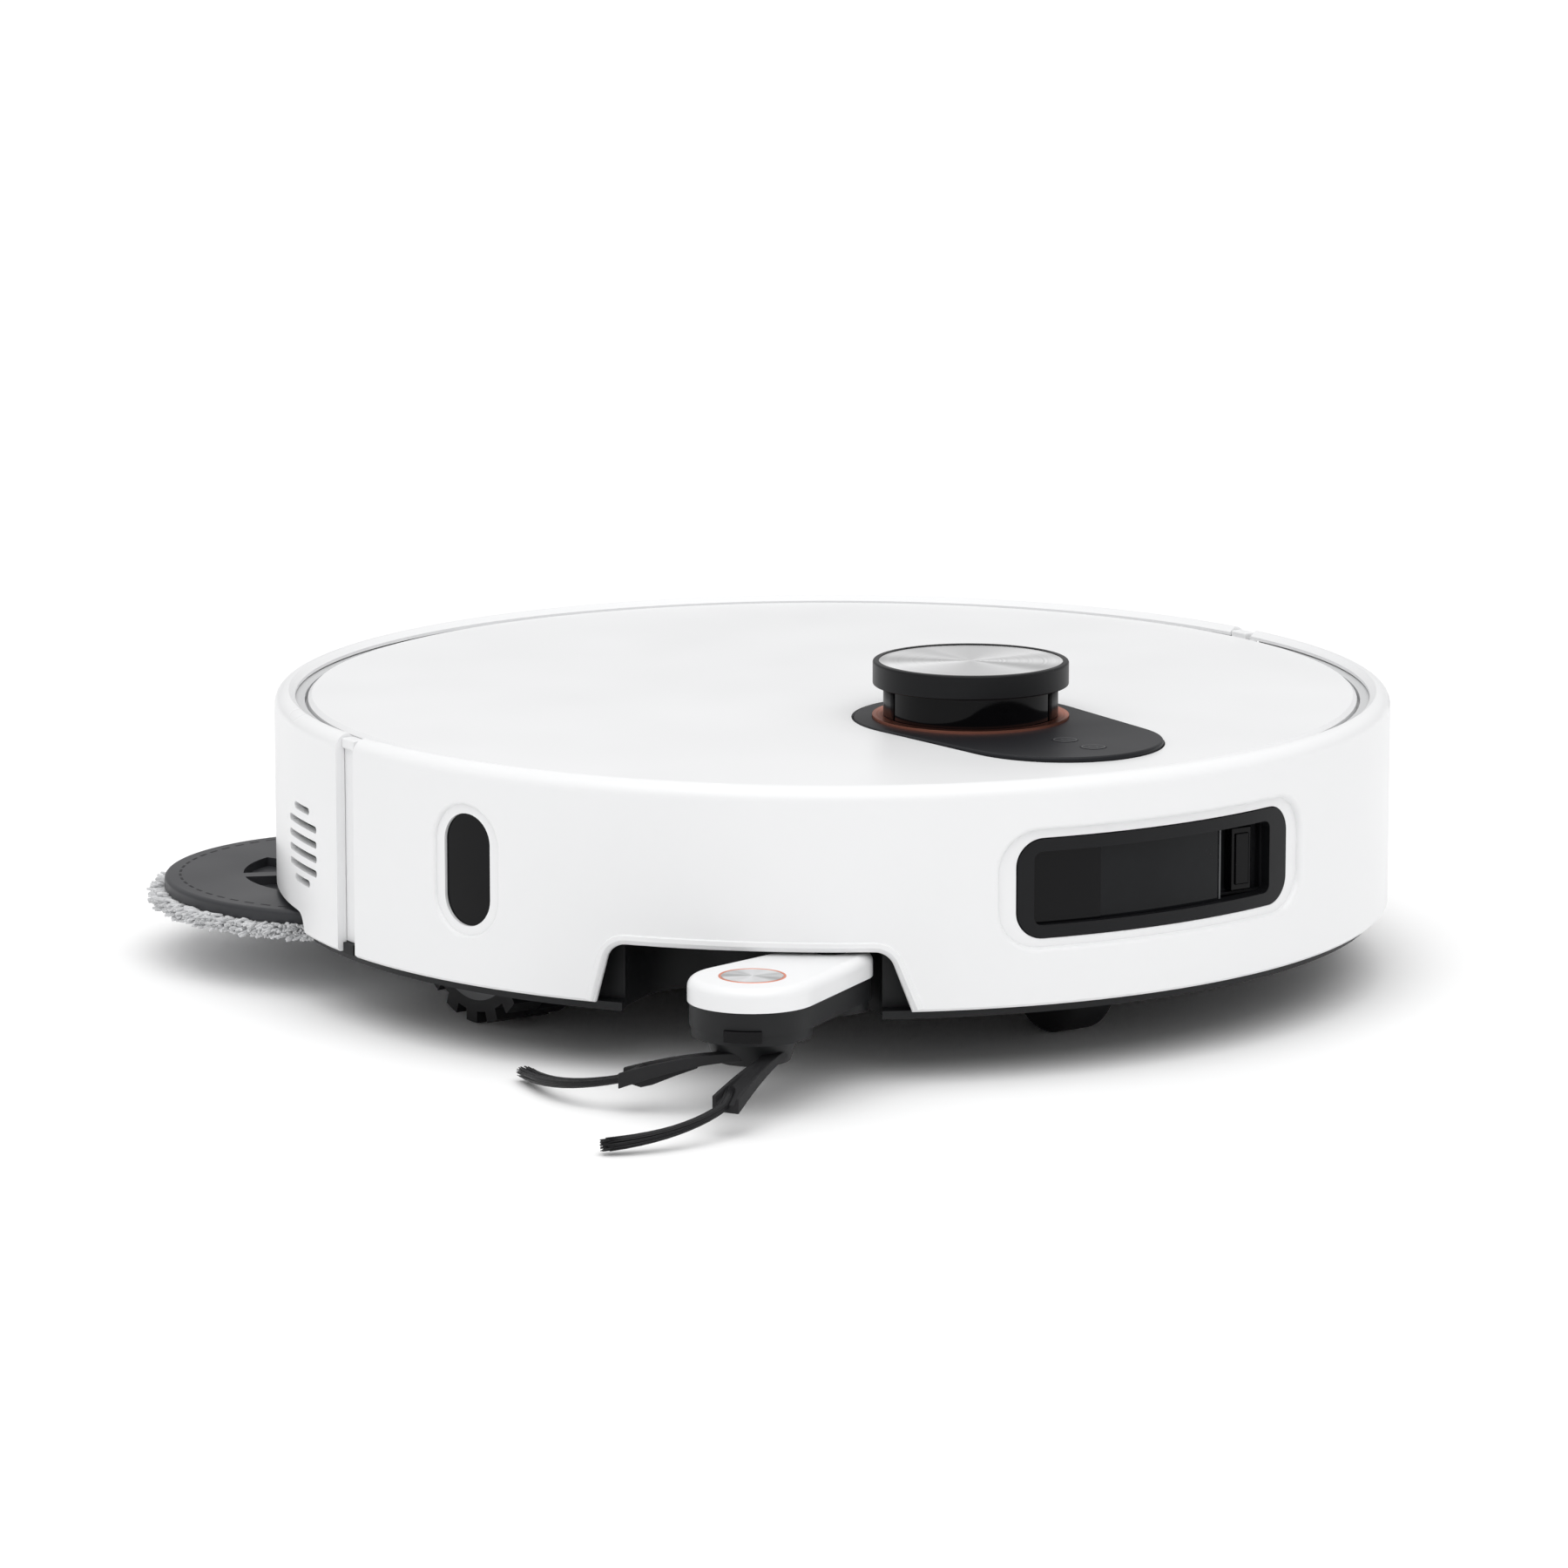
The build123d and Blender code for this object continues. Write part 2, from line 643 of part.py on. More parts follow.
with BuildPart() as cliff_sensors:
    for phi in (-62, -14, 14, 180):
        x, y = polar(157, phi)
        with BuildSketch(Plane.XY.offset(PLATE_Z - 0.8)):
            with Locations((x, y)):
                SlotOverall(16, 8, rotation=90 - phi)
        extrude(amount=0.8)
save(cliff_sensors, "cliff_sensors")


# ================================ drive wheels =================================

for side_name, side in (("right", -1), ("left", 1)):
    inner_x = side * (WHEEL_X - WHEEL_W / 2)
    with BuildPart() as module:
        # Gearbox case beside the wheel, with an arm forward to the pivot.
        with BuildSketch(Plane.YZ.offset(side * 98)):
            with Locations((WHEEL_Y, WHEEL_R)):
                Circle(19)
            with Locations((SUSPENSION_Y, SUSPENSION_Z)):
                Circle(8)
            make_hull()
        extrude(amount=side * 18)
        fillet(module.edges().filter_by(GeomType.CIRCLE), 1.2)
        # Motor across the robot.
        with BuildSketch(Plane.YZ.offset(side * 98)):
            with Locations((WHEEL_Y - 6, WHEEL_R + 8)):
                Circle(9)
        extrude(amount=-side * 1.0)
        # Output shaft that the wheel hub turns on.
        with BuildSketch(Plane.YZ.offset(side * 116)):
            with Locations((WHEEL_Y, WHEEL_R)):
                Circle(5)
        extrude(amount=side * 22)
        with BuildSketch(Plane.YZ.offset(side * 90)):
            with Locations((SUSPENSION_Y, SUSPENSION_Z)):
                Circle(PIN_R + RUN_GAP)
        extrude(amount=side * 40, mode=Mode.SUBTRACT)
    save(module, f"wheel_module_{side_name}")

    with BuildPart() as hub:
        with BuildSketch(Plane.YZ.offset(inner_x)):
            with Locations((WHEEL_Y, WHEEL_R)):
                Circle(WHEEL_R - 7)
                Circle(5 + RUN_GAP, mode=Mode.SUBTRACT)
        extrude(amount=side * WHEEL_W)
        # Dished outer face with spokes.
        with BuildSketch(Plane.YZ.offset(inner_x + side * (WHEEL_W - 4))):
            with Locations((WHEEL_Y, WHEEL_R)):
                Circle(WHEEL_R - 10)
                Circle(9, mode=Mode.SUBTRACT)
            with Locations((WHEEL_Y, WHEEL_R)):
                for i in range(3):
                    Rectangle(60, 3.5, rotation=60 * i, mode=Mode.SUBTRACT)
        extrude(amount=side * 5, mode=Mode.SUBTRACT)
    save(hub, f"wheel_hub_{side_name}")

    with BuildPart() as tyre:
        with BuildSketch(Plane.YZ.offset(inner_x)):
            with Locations((WHEEL_Y, WHEEL_R)):
                Circle(WHEEL_R - 3.5)
                Circle(WHEEL_R - 7, mode=Mode.SUBTRACT)
        extrude(amount=side * WHEEL_W)
        # Chunky cross treads in two staggered rows.
        for row in range(2):
            with BuildSketch(Plane.YZ.offset(inner_x + side * row * WHEEL_W / 2)):
                with Locations((WHEEL_Y, WHEEL_R)):
                    with PolarLocations(WHEEL_R - 2.25, 18, start_angle=10 * row):
                        Rectangle(4.5, 6)
                    Circle(WHEEL_R, mode=Mode.INTERSECT)
            extrude(amount=side * WHEEL_W / 2)
    save(tyre, f"tyre_{side_name}")

with BuildPart() as suspension_mounts:
    for side in (-1, 1):
        # Two cheeks and the pin that the wheel module swings on.
        for x in (94.0, 118.6):
            with BuildSketch(Plane.YZ.offset(side * x)):
                with BuildLine():
                    Polyline(
                        (SUSPENSION_Y - 12, PLATE_TOP),
                        (SUSPENSION_Y - 12, SUSPENSION_Z + 6),
                        (SUSPENSION_Y + 6, SUSPENSION_Z + 6),
                        (SUSPENSION_Y + 6, SUSPENSION_Z - 6),
                        (SUSPENSION_Y - 8.2, SUSPENSION_Z - 12),
                        (SUSPENSION_Y - 8.2, PLATE_TOP),
                        close=True,
                    )
                make_face()
            extrude(amount=side * (3.5 if x < 100 else 1.1))
        with BuildSketch(Plane.YZ.offset(side * 94)):
            with Locations((SUSPENSION_Y, SUSPENSION_Z)):
                Circle(PIN_R)
        extrude(amount=side * 25.7)
save(suspension_mounts, "suspension_mounts")


# ================================ main brush ===================================

with BuildPart() as brush_housing:
    with BuildSketch(Plane.YZ.offset(-BRUSH_HALF - 6)):
        with Locations((BRUSH_Y, 34)):
            Rectangle(56, 30)
    extrude(amount=2 * BRUSH_HALF + 12)
    fillet(brush_housing.edges().filter_by(Axis.X).group_by(Axis.Z)[-1], 8)
    # Round brush chamber, open below.
    with BuildSketch(Plane.YZ.offset(-BRUSH_HALF - 1.5)):
        with Locations((BRUSH_Y, BRUSH_Z)):
            Circle(BRUSH_R + 2.5)
        with Locations((BRUSH_Y, BRUSH_Z - 15)):
            Rectangle(2 * BRUSH_R + 5, 30)
    extrude(amount=2 * BRUSH_HALF + 3, mode=Mode.SUBTRACT)
    # Suction mouth towards the dust box.
    with BuildSketch(Plane.XY.offset(40)):
        with Locations((0, BRUSH_Y + 10)):
            RectangleRounded(70, 16, 4)
    extrude(amount=20, mode=Mode.SUBTRACT)
    # End bores for the brush's stub shafts.
    with BuildSketch(Plane.YZ.offset(-BRUSH_HALF - 6.5)):
        with Locations((BRUSH_Y, BRUSH_Z)):
            Circle(4 + RUN_GAP)
    extrude(amount=2 * BRUSH_HALF + 13, mode=Mode.SUBTRACT)
save(brush_housing, "brush_housing")

with BuildPart() as suction_duct:
    # Short duct from the brush chamber up and back into the dust box.
    with BuildSketch(Plane.XY.offset(49)):
        with Locations((0, BRUSH_Y + 10)):
            RectangleRounded(76, 22, 5)
            RectangleRounded(70, 16, 4, mode=Mode.SUBTRACT)
    extrude(amount=3)
    with BuildSketch(Plane.XZ.offset(-DUST_FRONT + 0.8)):
        with Locations((0, 62)):
            RectangleRounded(76, 22, 5)
            RectangleRounded(70, 16, 4, mode=Mode.SUBTRACT)
    extrude(amount=3)
    with BuildSketch(Plane.YZ.offset(-38)):
        with BuildLine():
            Polyline(
                (BRUSH_Y - 1, 51.9), (BRUSH_Y + 21, 51.9), (BRUSH_Y + 21, 51.0),
                (DUST_FRONT - 3.8, 51.0), (DUST_FRONT - 3.8, 73), (BRUSH_Y + 20, 73),
                (BRUSH_Y + 9.5, 61.6), (BRUSH_Y - 1, 60.5), close=True,
            )
        make_face()
    extrude(amount=76)
    with BuildSketch(Plane.YZ.offset(-35)):
        with BuildLine():
            Polyline(
                (BRUSH_Y + 2, 51.8), (BRUSH_Y + 18, 51.8), (BRUSH_Y + 18, 54),
                (DUST_FRONT - 3.7, 54), (DUST_FRONT - 3.7, 70), (BRUSH_Y + 21.5, 70),
                (BRUSH_Y + 11, 58.8), (BRUSH_Y + 2, 57.8), close=True,
            )
        make_face()
    extrude(amount=70, mode=Mode.SUBTRACT)
save(suction_duct, "suction_duct")

with BuildPart() as brush_cover:
    # Frame under the brush chamber.
    with BuildSketch(Plane.XY.offset(15.6)):
        with Locations((0, BRUSH_Y)):
            RectangleRounded(2 * BRUSH_HALF + 16, 60, 5)
            Rectangle(2 * BRUSH_HALF + 2, 2 * BRUSH_R + 4, mode=Mode.SUBTRACT)
    extrude(amount=3.1)
    fillet(brush_cover.edges().group_by(Axis.Z)[0].filter_by(GeomType.LINE), 0.6)
save(brush_cover, "brush_cover")

with BuildPart() as brush_core:
    with BuildSketch(Plane.YZ.offset(-BRUSH_HALF)):
        with Locations((BRUSH_Y, BRUSH_Z)):
            Circle(12)
    extrude(amount=2 * BRUSH_HALF)
    with BuildSketch(Plane.YZ.offset(-BRUSH_HALF - 5.6)):
        with Locations((BRUSH_Y, BRUSH_Z)):
            Circle(4)
    extrude(amount=2 * BRUSH_HALF + 11.2)
save(brush_core, "brush_core")

FINS = 6
FIN_STEPS = 8
FIN_TWIST = 60.0

with BuildPart() as brush_fins:
    # Rubber fins that spiral from both ends to the middle, in short straight steps.
    for i in range(-FIN_STEPS, FIN_STEPS):
        step = BRUSH_HALF / FIN_STEPS
        turn = FIN_TWIST * abs(i + 0.5) / FIN_STEPS
        with BuildSketch(Plane.YZ.offset(i * step)):
            with Locations((BRUSH_Y, BRUSH_Z)):
                with PolarLocations((BRUSH_R + 11) / 2, FINS, start_angle=turn):
                    Rectangle(BRUSH_R - 11, 3.0)
                Circle(12, mode=Mode.SUBTRACT)
                Circle(14)
                Circle(12, mode=Mode.SUBTRACT)
        extrude(amount=step)
save(brush_fins, "brush_fins")

with BuildPart() as brush_motor:
    # Gearbox on the end of the brush chamber, and the motor behind the chamber.
    with BuildSketch(Plane.YZ.offset(BRUSH_HALF + 6)):
        with Locations((BRUSH_Y, 30)):
            Circle(8)
        with Locations((-4, 46)):
            Circle(11)
        make_hull()
    extrude(amount=7)
    with BuildSketch(Plane.YZ.offset(BRUSH_HALF - 32)):
        with Locations((-4, 46)):
            Circle(14)
    extrude(amount=38)
save(brush_motor, "brush_motor")


# ================================ caster =======================================

with BuildPart() as caster_socket:
    with BuildSketch(Plane.XY.offset(16.5)):
        with Locations((0, CASTER_Y)):
            Circle(27)
    extrude(amount=36.5 - 16.5)
    with BuildSketch(Plane.XY.offset(PLATE_TOP)):
        with Locations((0, CASTER_Y)):
            Circle(31)
    extrude(amount=3)
    with BuildSketch(Plane.XY.offset(15)):
        with Locations((0, CASTER_Y)):
            Circle(23.4)
    extrude(amount=20.5, mode=Mode.SUBTRACT)
    with BuildSketch(Plane.XY.offset(30)):
        with Locations((0, CASTER_Y)):
            Circle(16)
    extrude(amount=16)
    with BuildSketch(Plane.XY.offset(30)):
        with Locations((0, CASTER_Y)):
            Circle(4 + RUN_GAP)
    extrude(amount=14, mode=Mode.SUBTRACT)
    with BuildSketch(Plane.XY.offset(29)):
        with Locations((0, CASTER_Y)):
            Circle(16.5)
            Circle(8, mode=Mode.SUBTRACT)
    extrude(amount=6.5, mode=Mode.SUBTRACT)
    with BuildSketch(Plane.XY.offset(29)):
        with Locations((0, CASTER_Y)):
            Circle(8.5)
    extrude(amount=7.2, mode=Mode.SUBTRACT)
save(caster_socket, "caster_socket")

with BuildPart() as caster_fork:
    with BuildSketch(Plane.XY.offset(12)):
        with Locations((0, CASTER_Y)):
            Circle(23)
    extrude(amount=23.2)
    fillet(caster_fork.edges().group_by(Axis.Z)[0], 2)
    with BuildSketch(Plane.XY.offset(35.2)):
        with Locations((0, CASTER_Y)):
            Circle(4)
    extrude(amount=8)
    # Slot that the wheel runs in.
    with BuildSketch(Plane.YZ.offset(-CASTER_W / 2 - 0.6)):
        with Locations((CASTER_Y, CASTER_R)):
            Circle(CASTER_R + 0.8)
            with Locations((0, -10)):
                Rectangle(2 * CASTER_R + 1.6, 20)
    extrude(amount=CASTER_W + 1.2, mode=Mode.SUBTRACT)
    with BuildSketch(Plane.YZ.offset(-13)):
        with Locations((CASTER_Y, CASTER_R)):
            Circle(2)
    extrude(amount=26, mode=Mode.SUBTRACT)
save(caster_fork, "caster_fork")

with BuildPart() as caster_axle:
    with BuildSketch(Plane.YZ.offset(-12.9)):
        with Locations((CASTER_Y, CASTER_R)):
            Circle(2)
    extrude(amount=25.8)
save(caster_axle, "caster_axle")

with BuildPart() as caster_wheel:
    with BuildSketch(Plane.YZ.offset(-CASTER_W / 2)):
        with Locations((CASTER_Y, CASTER_R)):
            Circle(CASTER_R)
    extrude(amount=CASTER_W)
    fillet(caster_wheel.edges().filter_by(GeomType.CIRCLE), 2.5)
    with BuildSketch(Plane.YZ.offset(-CASTER_W / 2)):
        with Locations((CASTER_Y, CASTER_R)):
            Circle(2 + RUN_GAP)
    extrude(amount=CASTER_W, mode=Mode.SUBTRACT)
save(caster_wheel, "caster_wheel")


# ================================ side brush arm ===============================

ARM_SHAPE = [(ARM_PIVOT, ARM_END_R), (ARM_TIP, ARM_TIP_R)]
POST_R = 5.0
TAB_REACH = 169.3

with BuildPart() as arm_bay:
    # Ceiling and side walls of the space that the arm folds into.
    with BuildSketch(Plane.XY.offset(PLATE_TOP)):
        discs([(ARM_PIVOT, ARM_END_R + 5)] + [(p, ARM_TIP_R + 5) for p in ARM_PATH])
        make_hull()
        Circle(FRAME_WALL_R - FRAME_WALL, mode=Mode.INTERSECT)
    extrude(amount=BAY_CEILING + 2 - PLATE_TOP)
    with BuildSketch(Plane.XY.offset(PLATE_TOP - 1)):
        discs([(ARM_PIVOT, ARM_END_R + 3)] + [(p, ARM_TIP_R + 3) for p in ARM_PATH])
        make_hull()
    extrude(amount=BAY_CEILING + 1 - PLATE_TOP, mode=Mode.SUBTRACT)
    # Tab under the ceiling, and the post that the arm hangs on.
    with BuildSketch(Plane.XY.offset(ARM_TOP + 0.3)):
        with Locations(ARM_PIVOT):
            Circle(14)
        Circle(TAB_REACH, mode=Mode.INTERSECT)
    extrude(amount=BAY_CEILING - ARM_TOP - 0.3)
    with BuildSketch(Plane.XY.offset(22.6)):
        with Locations(ARM_PIVOT):
            Circle(POST_R)
    extrude(amount=ARM_TOP + 0.3 - 22.6)
save(arm_bay, "arm_bay")

with BuildPart() as arm_cover:
    with BuildSketch(Plane.XY.offset(ARM_SEAM)):
        discs(ARM_SHAPE)
        make_hull()
    extrude(amount=ARM_TOP - ARM_SEAM)
    fillet(arm_cover.faces().sort_by(Axis.Z)[-1].edges(), 2.8)
    # Hollow for the gear train, and the badge's seat.
    with BuildSketch(Plane.XY.offset(ARM_SEAM - 1)):
        discs([(ARM_PIVOT, ARM_END_R - 2.5), (ARM_TIP, ARM_TIP_R - 2.5)])
        make_hull()
    extrude(amount=4.5, mode=Mode.SUBTRACT)
    with BuildSketch(Plane.XY.offset(ARM_TOP - 0.8)):
        with Locations(ARM_TIP):
            Circle(9.0)
    extrude(amount=2, mode=Mode.SUBTRACT)
    with BuildSketch(Plane.XY.offset(ARM_SEAM - 1)):
        with Locations(ARM_PIVOT):
            Circle(POST_R + RUN_GAP)
    extrude(amount=12, mode=Mode.SUBTRACT)
save(arm_cover, "arm_cover")

with BuildPart() as arm_badge:
    with BuildSketch(Plane.XY.offset(ARM_TOP - 0.8)):
        with Locations(ARM_TIP):
            Circle(8.9)
    extrude(amount=0.9)
save(arm_badge, "arm_badge")

with BuildPart() as arm_housing:
    with BuildSketch(Plane.XY.offset(ARM_BOTTOM + 3)):
        discs([(ARM_PIVOT, ARM_END_R - 0.6), (ARM_TIP, ARM_TIP_R - 0.6)])
        make_hull()
    extrude(amount=ARM_SEAM - ARM_BOTTOM - 3)
    with BuildSketch(Plane.XY.offset(ARM_BOTTOM)):
        with Locations(ARM_TIP):
            Circle(ARM_TIP_R - 1.2)
        with Locations(ARM_PIVOT):
            Circle(ARM_END_R - 1.2)
    extrude(amount=3)
    with BuildSketch(Plane.XY.offset(ARM_BOTTOM - 1)):
        with Locations(ARM_PIVOT):
            Circle(POST_R + RUN_GAP)
    extrude(amount=14, mode=Mode.SUBTRACT)
    # Bore for the brush spindle.
    with BuildSketch(Plane.XY.offset(ARM_BOTTOM - 1)):
        with Locations(ARM_TIP):
            Circle(3 + RUN_GAP)
    extrude(amount=9, mode=Mode.SUBTRACT)
save(arm_housing, "arm_housing")

with BuildPart() as side_brush_hub:
    with BuildSketch(Plane.XY.offset(HUB_BOTTOM)):
        with Locations(ARM_TIP):
            Circle(11)
    extrude(amount=ARM_BOTTOM - 0.4 - HUB_BOTTOM, taper=-20)
    with BuildSketch(Plane.XY.offset(ARM_BOTTOM - 0.4)):
        with Locations(ARM_TIP):
            Circle(3)
    extrude(amount=7.5)
save(side_brush_hub, "side_brush_hub")

SLEEVE_ANGLES = (151.0, 224.0)
SLEEVE_END = 38.0
TUFT_TIPS = ((-169.7, -84.9), (-201.6, -174.5))


def arm_plane(degrees, r, z, drop):
    """Plane across a bristle arm at radius r from the hub, normal out along it and down."""
    a = math.radians(degrees)
    return Plane(
        origin=(ARM_TIP[0] + r * math.cos(a), ARM_TIP[1] + r * math.sin(a), z),
        x_dir=(-math.sin(a), math.cos(a), 0),
        z_dir=(math.cos(a) * math.cos(drop), math.sin(a) * math.cos(drop), -math.sin(drop)),
    )


DROP = math.radians(13)

with BuildPart() as side_brush_sleeves:
    for angle in SLEEVE_ANGLES:
        with BuildSketch(arm_plane(angle, 10.5, 16.2, DROP)):
            RectangleRounded(8, 3.6, 1.2)
        with BuildSketch(arm_plane(angle, SLEEVE_END, 16.2 - 27.5 * math.tan(DROP), DROP)):
            RectangleRounded(9.5, 5.2, 1.6)
        loft()
save(side_brush_sleeves, "side_brush_sleeves")

with BuildPart() as side_brush_tufts:
    for angle, tip in zip(SLEEVE_ANGLES, TUFT_TIPS):
        a = math.radians(angle)
        start_z = 16.2 - 27.5 * math.tan(DROP)
        start = Vector(
            ARM_TIP[0] + SLEEVE_END * math.cos(a), ARM_TIP[1] + SLEEVE_END * math.sin(a), start_z
        )
        end = Vector(tip[0], tip[1], 2.2)
        mid = Vector(
            ARM_TIP[0] + 58 * math.cos(a - 0.18), ARM_TIP[1] + 58 * math.sin(a - 0.18), 5.2
        )
        with BuildLine() as tuft_line:
            ThreePointArc(start, mid, end)
        with BuildSketch(Plane(origin=start, z_dir=tuft_line.line % 0)):
            Circle(2.0)
        sweep(path=tuft_line.line)
save(side_brush_tufts, "side_brush_tufts")


# ================================ mops =========================================

SLEEVE_LOW = 36.0
SLEEVE_TOP = 50.0

with BuildPart() as mop_arm_right:
    # Link plate from the pivot post to the carrier, with the carrier's guide sleeve.
    with BuildSketch(Plane.XY.offset(SLEEVE_TOP)):
        discs([(MOP_PIVOT, 12), (MOP_OUT, CARRIER_R + 3.2)])
        make_hull()
    extrude(amount=4)
    with BuildSketch(Plane.XY.offset(SLEEVE_LOW)):
        with Locations(MOP_OUT):
            Circle(CARRIER_R + 3.2)
    extrude(amount=SLEEVE_TOP - SLEEVE_LOW)
    with BuildSketch(Plane.XY.offset(SLEEVE_LOW - 1)):
        with Locations(MOP_OUT):
            Circle(CARRIER_R + 0.4)
    extrude(amount=24, mode=Mode.SUBTRACT)
    with BuildSketch(Plane.XY.offset(SLEEVE_TOP - 1)):
        with Locations(MOP_PIVOT):
            Circle(6 + RUN_GAP)
    extrude(amount=10, mode=Mode.SUBTRACT)
save(mop_arm_right, "mop_arm_right")

for side_name, centre in (("right", MOP_OUT), ("left", MOP_STOWED)):
    with BuildPart() as carrier:
        # Motor and gearbox that slide in the sleeve and turn the mop plate.
        with BuildSketch(Plane.XY.offset(BAY_ROOF_Z + 0.2)):
            with Locations(centre):
                Circle(CARRIER_R)
        extrude(amount=44)
        fillet(carrier.edges().group_by(Axis.Z)[-1], 1.5)
        with BuildSketch(Plane.XY.offset(BAY_ROOF_Z - 1)):
            with Locations(centre):
                Circle(STEM_R + RUN_GAP)
        extrude(amount=21, mode=Mode.SUBTRACT)
    save(carrier, f"mop_carrier_{side_name}")

    with BuildPart() as plate:
        with BuildSketch(Plane.XY.offset(PLATE_MOP_Z)):
            with Locations(centre):
                Circle(MOP_PLATE_R)
        extrude(amount=PLATE_MOP_TOP - PLATE_MOP_Z)
        fillet(plate.edges().group_by(Axis.Z)[-1], 1.4)
        # Ring-shaped opening, crossed by spokes.
        with BuildSketch(Plane.XY.offset(PLATE_MOP_Z + 1.2)):
            with Locations(centre):
                Circle(41)
                Circle(20, mode=Mode.SUBTRACT)
                for i in range(4):
                    Rectangle(90, 6, rotation=45 * i + 20, mode=Mode.SUBTRACT)
        extrude(amount=10, mode=Mode.SUBTRACT)
        with BuildSketch(Plane.XY.offset(PLATE_MOP_TOP)):
            with Locations(centre):
                Circle(STEM_R)
        extrude(amount=20)
    save(plate, f"mop_plate_{side_name}")

    with BuildPart() as pad:
        with BuildSketch(Plane.XY.offset(PAD_Z)):
            with Locations(centre):
                Circle(MOP_R)
        extrude(amount=PLATE_MOP_Z - PAD_Z)
        fillet(pad.edges().group_by(Axis.Z)[0], 1.5)
    save(pad, f"mop_pad_{side_name}")


# ================================ inside =======================================

with BuildPart() as dust_box:
    with BuildSketch(Plane.XY.offset(50)):
        with Locations((0, (DUST_FRONT + DUST_BACK) / 2)):
            RectangleRounded(2 * DUST_HALF, DUST_BACK - DUST_FRONT, 7)
    extrude(amount=34.0)
    with BuildSketch(Plane.XY.offset(52)):
        with Locations((0, (DUST_FRONT + DUST_BACK) / 2)):
            RectangleRounded(2 * DUST_HALF - 4, DUST_BACK - DUST_FRONT - 4, 5)
    extrude(amount=29.5, mode=Mode.SUBTRACT)
    # Inlet at the front.
    with BuildSketch(Plane.XZ.offset(-DUST_FRONT + 4)):
        with Locations((0, 62)):
            RectangleRounded(70, 16, 4)
    extrude(amount=-12, mode=Mode.SUBTRACT)
    with BuildSketch(Plane.XZ.offset(-DUST_FRONT - 4)):
        with Locations((0, 62)):
            RectangleRounded(70, 16, 4)
    extrude(amount=12, mode=Mode.SUBTRACT)
    # Finger recess in the lid.
    with BuildSketch(Plane.XY.offset(82.6)):
        with Locations((0, 20)):
            SlotOverall(46, 16)
    extrude(amount=4, mode=Mode.SUBTRACT)
save(dust_box, "dust_box")

FAN_X = 90.0
FAN_Y = -102.0
FAN_Z = 30.0

with BuildPart() as fan_housing:
    with BuildSketch(Plane.XY.offset(PLATE_TOP)):
        with Locations((FAN_X, FAN_Y)):
            Circle(24)
    extrude(amount=46)
    fillet(fan_housing.edges().group_by(Axis.Z)[-1], 4)
    with BuildSketch(Plane.XY.offset(FAN_Z)):
        with Locations((FAN_X, FAN_Y)):
            Circle(21.5)
    extrude(amount=20, mode=Mode.SUBTRACT)
    # Inlet eye on top, and the outlet at the side.
    with BuildSketch(Plane.XY.offset(FAN_Z + 18)):
        with Locations((FAN_X, FAN_Y)):
            Circle(11)
    extrude(amount=30, mode=Mode.SUBTRACT)
    with BuildSketch(Plane.YZ.offset(FAN_X)):
        with Locations((FAN_Y - 14, FAN_Z + 9)):
            Rectangle(14, 14)
    extrude(amount=32, mode=Mode.SUBTRACT)
    with BuildSketch(Plane.XY.offset(FAN_Z)):
        with Locations((FAN_X, FAN_Y)):
            Circle(3)
    extrude(amount=18)
save(fan_housing, "fan_housing")

with BuildPart() as fan_impeller:
    with BuildSketch(Plane.XY.offset(FAN_Z + 1)):
        with Locations((FAN_X, FAN_Y)):
            Circle(20)
    extrude(amount=2)
    with BuildSketch(Plane.XY.offset(FAN_Z + 3)):
        with Locations((FAN_X, FAN_Y)):
            Circle(7)
            with PolarLocations(13, 9):
                Rectangle(14, 1.6, rotation=25)
            Circle(20, mode=Mode.INTERSECT)
    extrude(amount=10)
    with BuildSketch(Plane.XY.offset(FAN_Z)):
        with Locations((FAN_X, FAN_Y)):
            Circle(3 + RUN_GAP)
    extrude(amount=20, mode=Mode.SUBTRACT)
save(fan_impeller, "fan_impeller")

with BuildPart() as battery:
    # Pack of cells in a tray, above the arm's bay.
    with BuildSketch(Plane.XY.offset(BAY_CEILING + 2)):
        with Locations((-76, -98)):
            RectangleRounded(64, 38, 4)
    extrude(amount=30)
save(battery, "battery")

with BuildPart() as main_board:
    with BuildSketch(Plane.XY.offset(78.0)):
        with Locations((0, 118)):
            RectangleRounded(110, 60, 4)
    extrude(amount=1.6)
    with BuildSketch(Plane.XY.offset(71)):
        with Locations((-30, 112), (24, 104), (28, 128)):
            Rectangle(20, 20)
    extrude(amount=7)
    # Spacers up to the deck.
    with BuildSketch(Plane.XY.offset(79.6)):
        with Locations((-50, 92), (50, 92), (-50, 144), (50, 144)):
            Circle(3)
    extrude(amount=DECK_UNDER - 79.6)
save(main_board, "main_board")

with BuildPart() as water_tank:
    # Small tank over the mops, closed, with a filler neck.
    with BuildSketch(Plane.XY.offset(44)):
        with Locations((-4, 124)):
            RectangleRounded(78, 48, 8)
    extrude(amount=22)
    with BuildSketch(Plane.XY.offset(66)):
        with Locations((0, 104)):
            Circle(5)
    extrude(amount=3)
save(water_tank, "water_tank")

with BuildPart() as chassis_screws:
    # Pan head screws in the underside.
    with BuildSketch(Plane.XY.offset(PLATE_Z - 1.2)):
        with Locations(FRONT_COLUMNS + MIDDLE_COLUMNS + REAR_COLUMNS):
            Circle(3)
    extrude(amount=1.2)
save(chassis_screws, "chassis_screws")
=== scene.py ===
import json
import math
import random

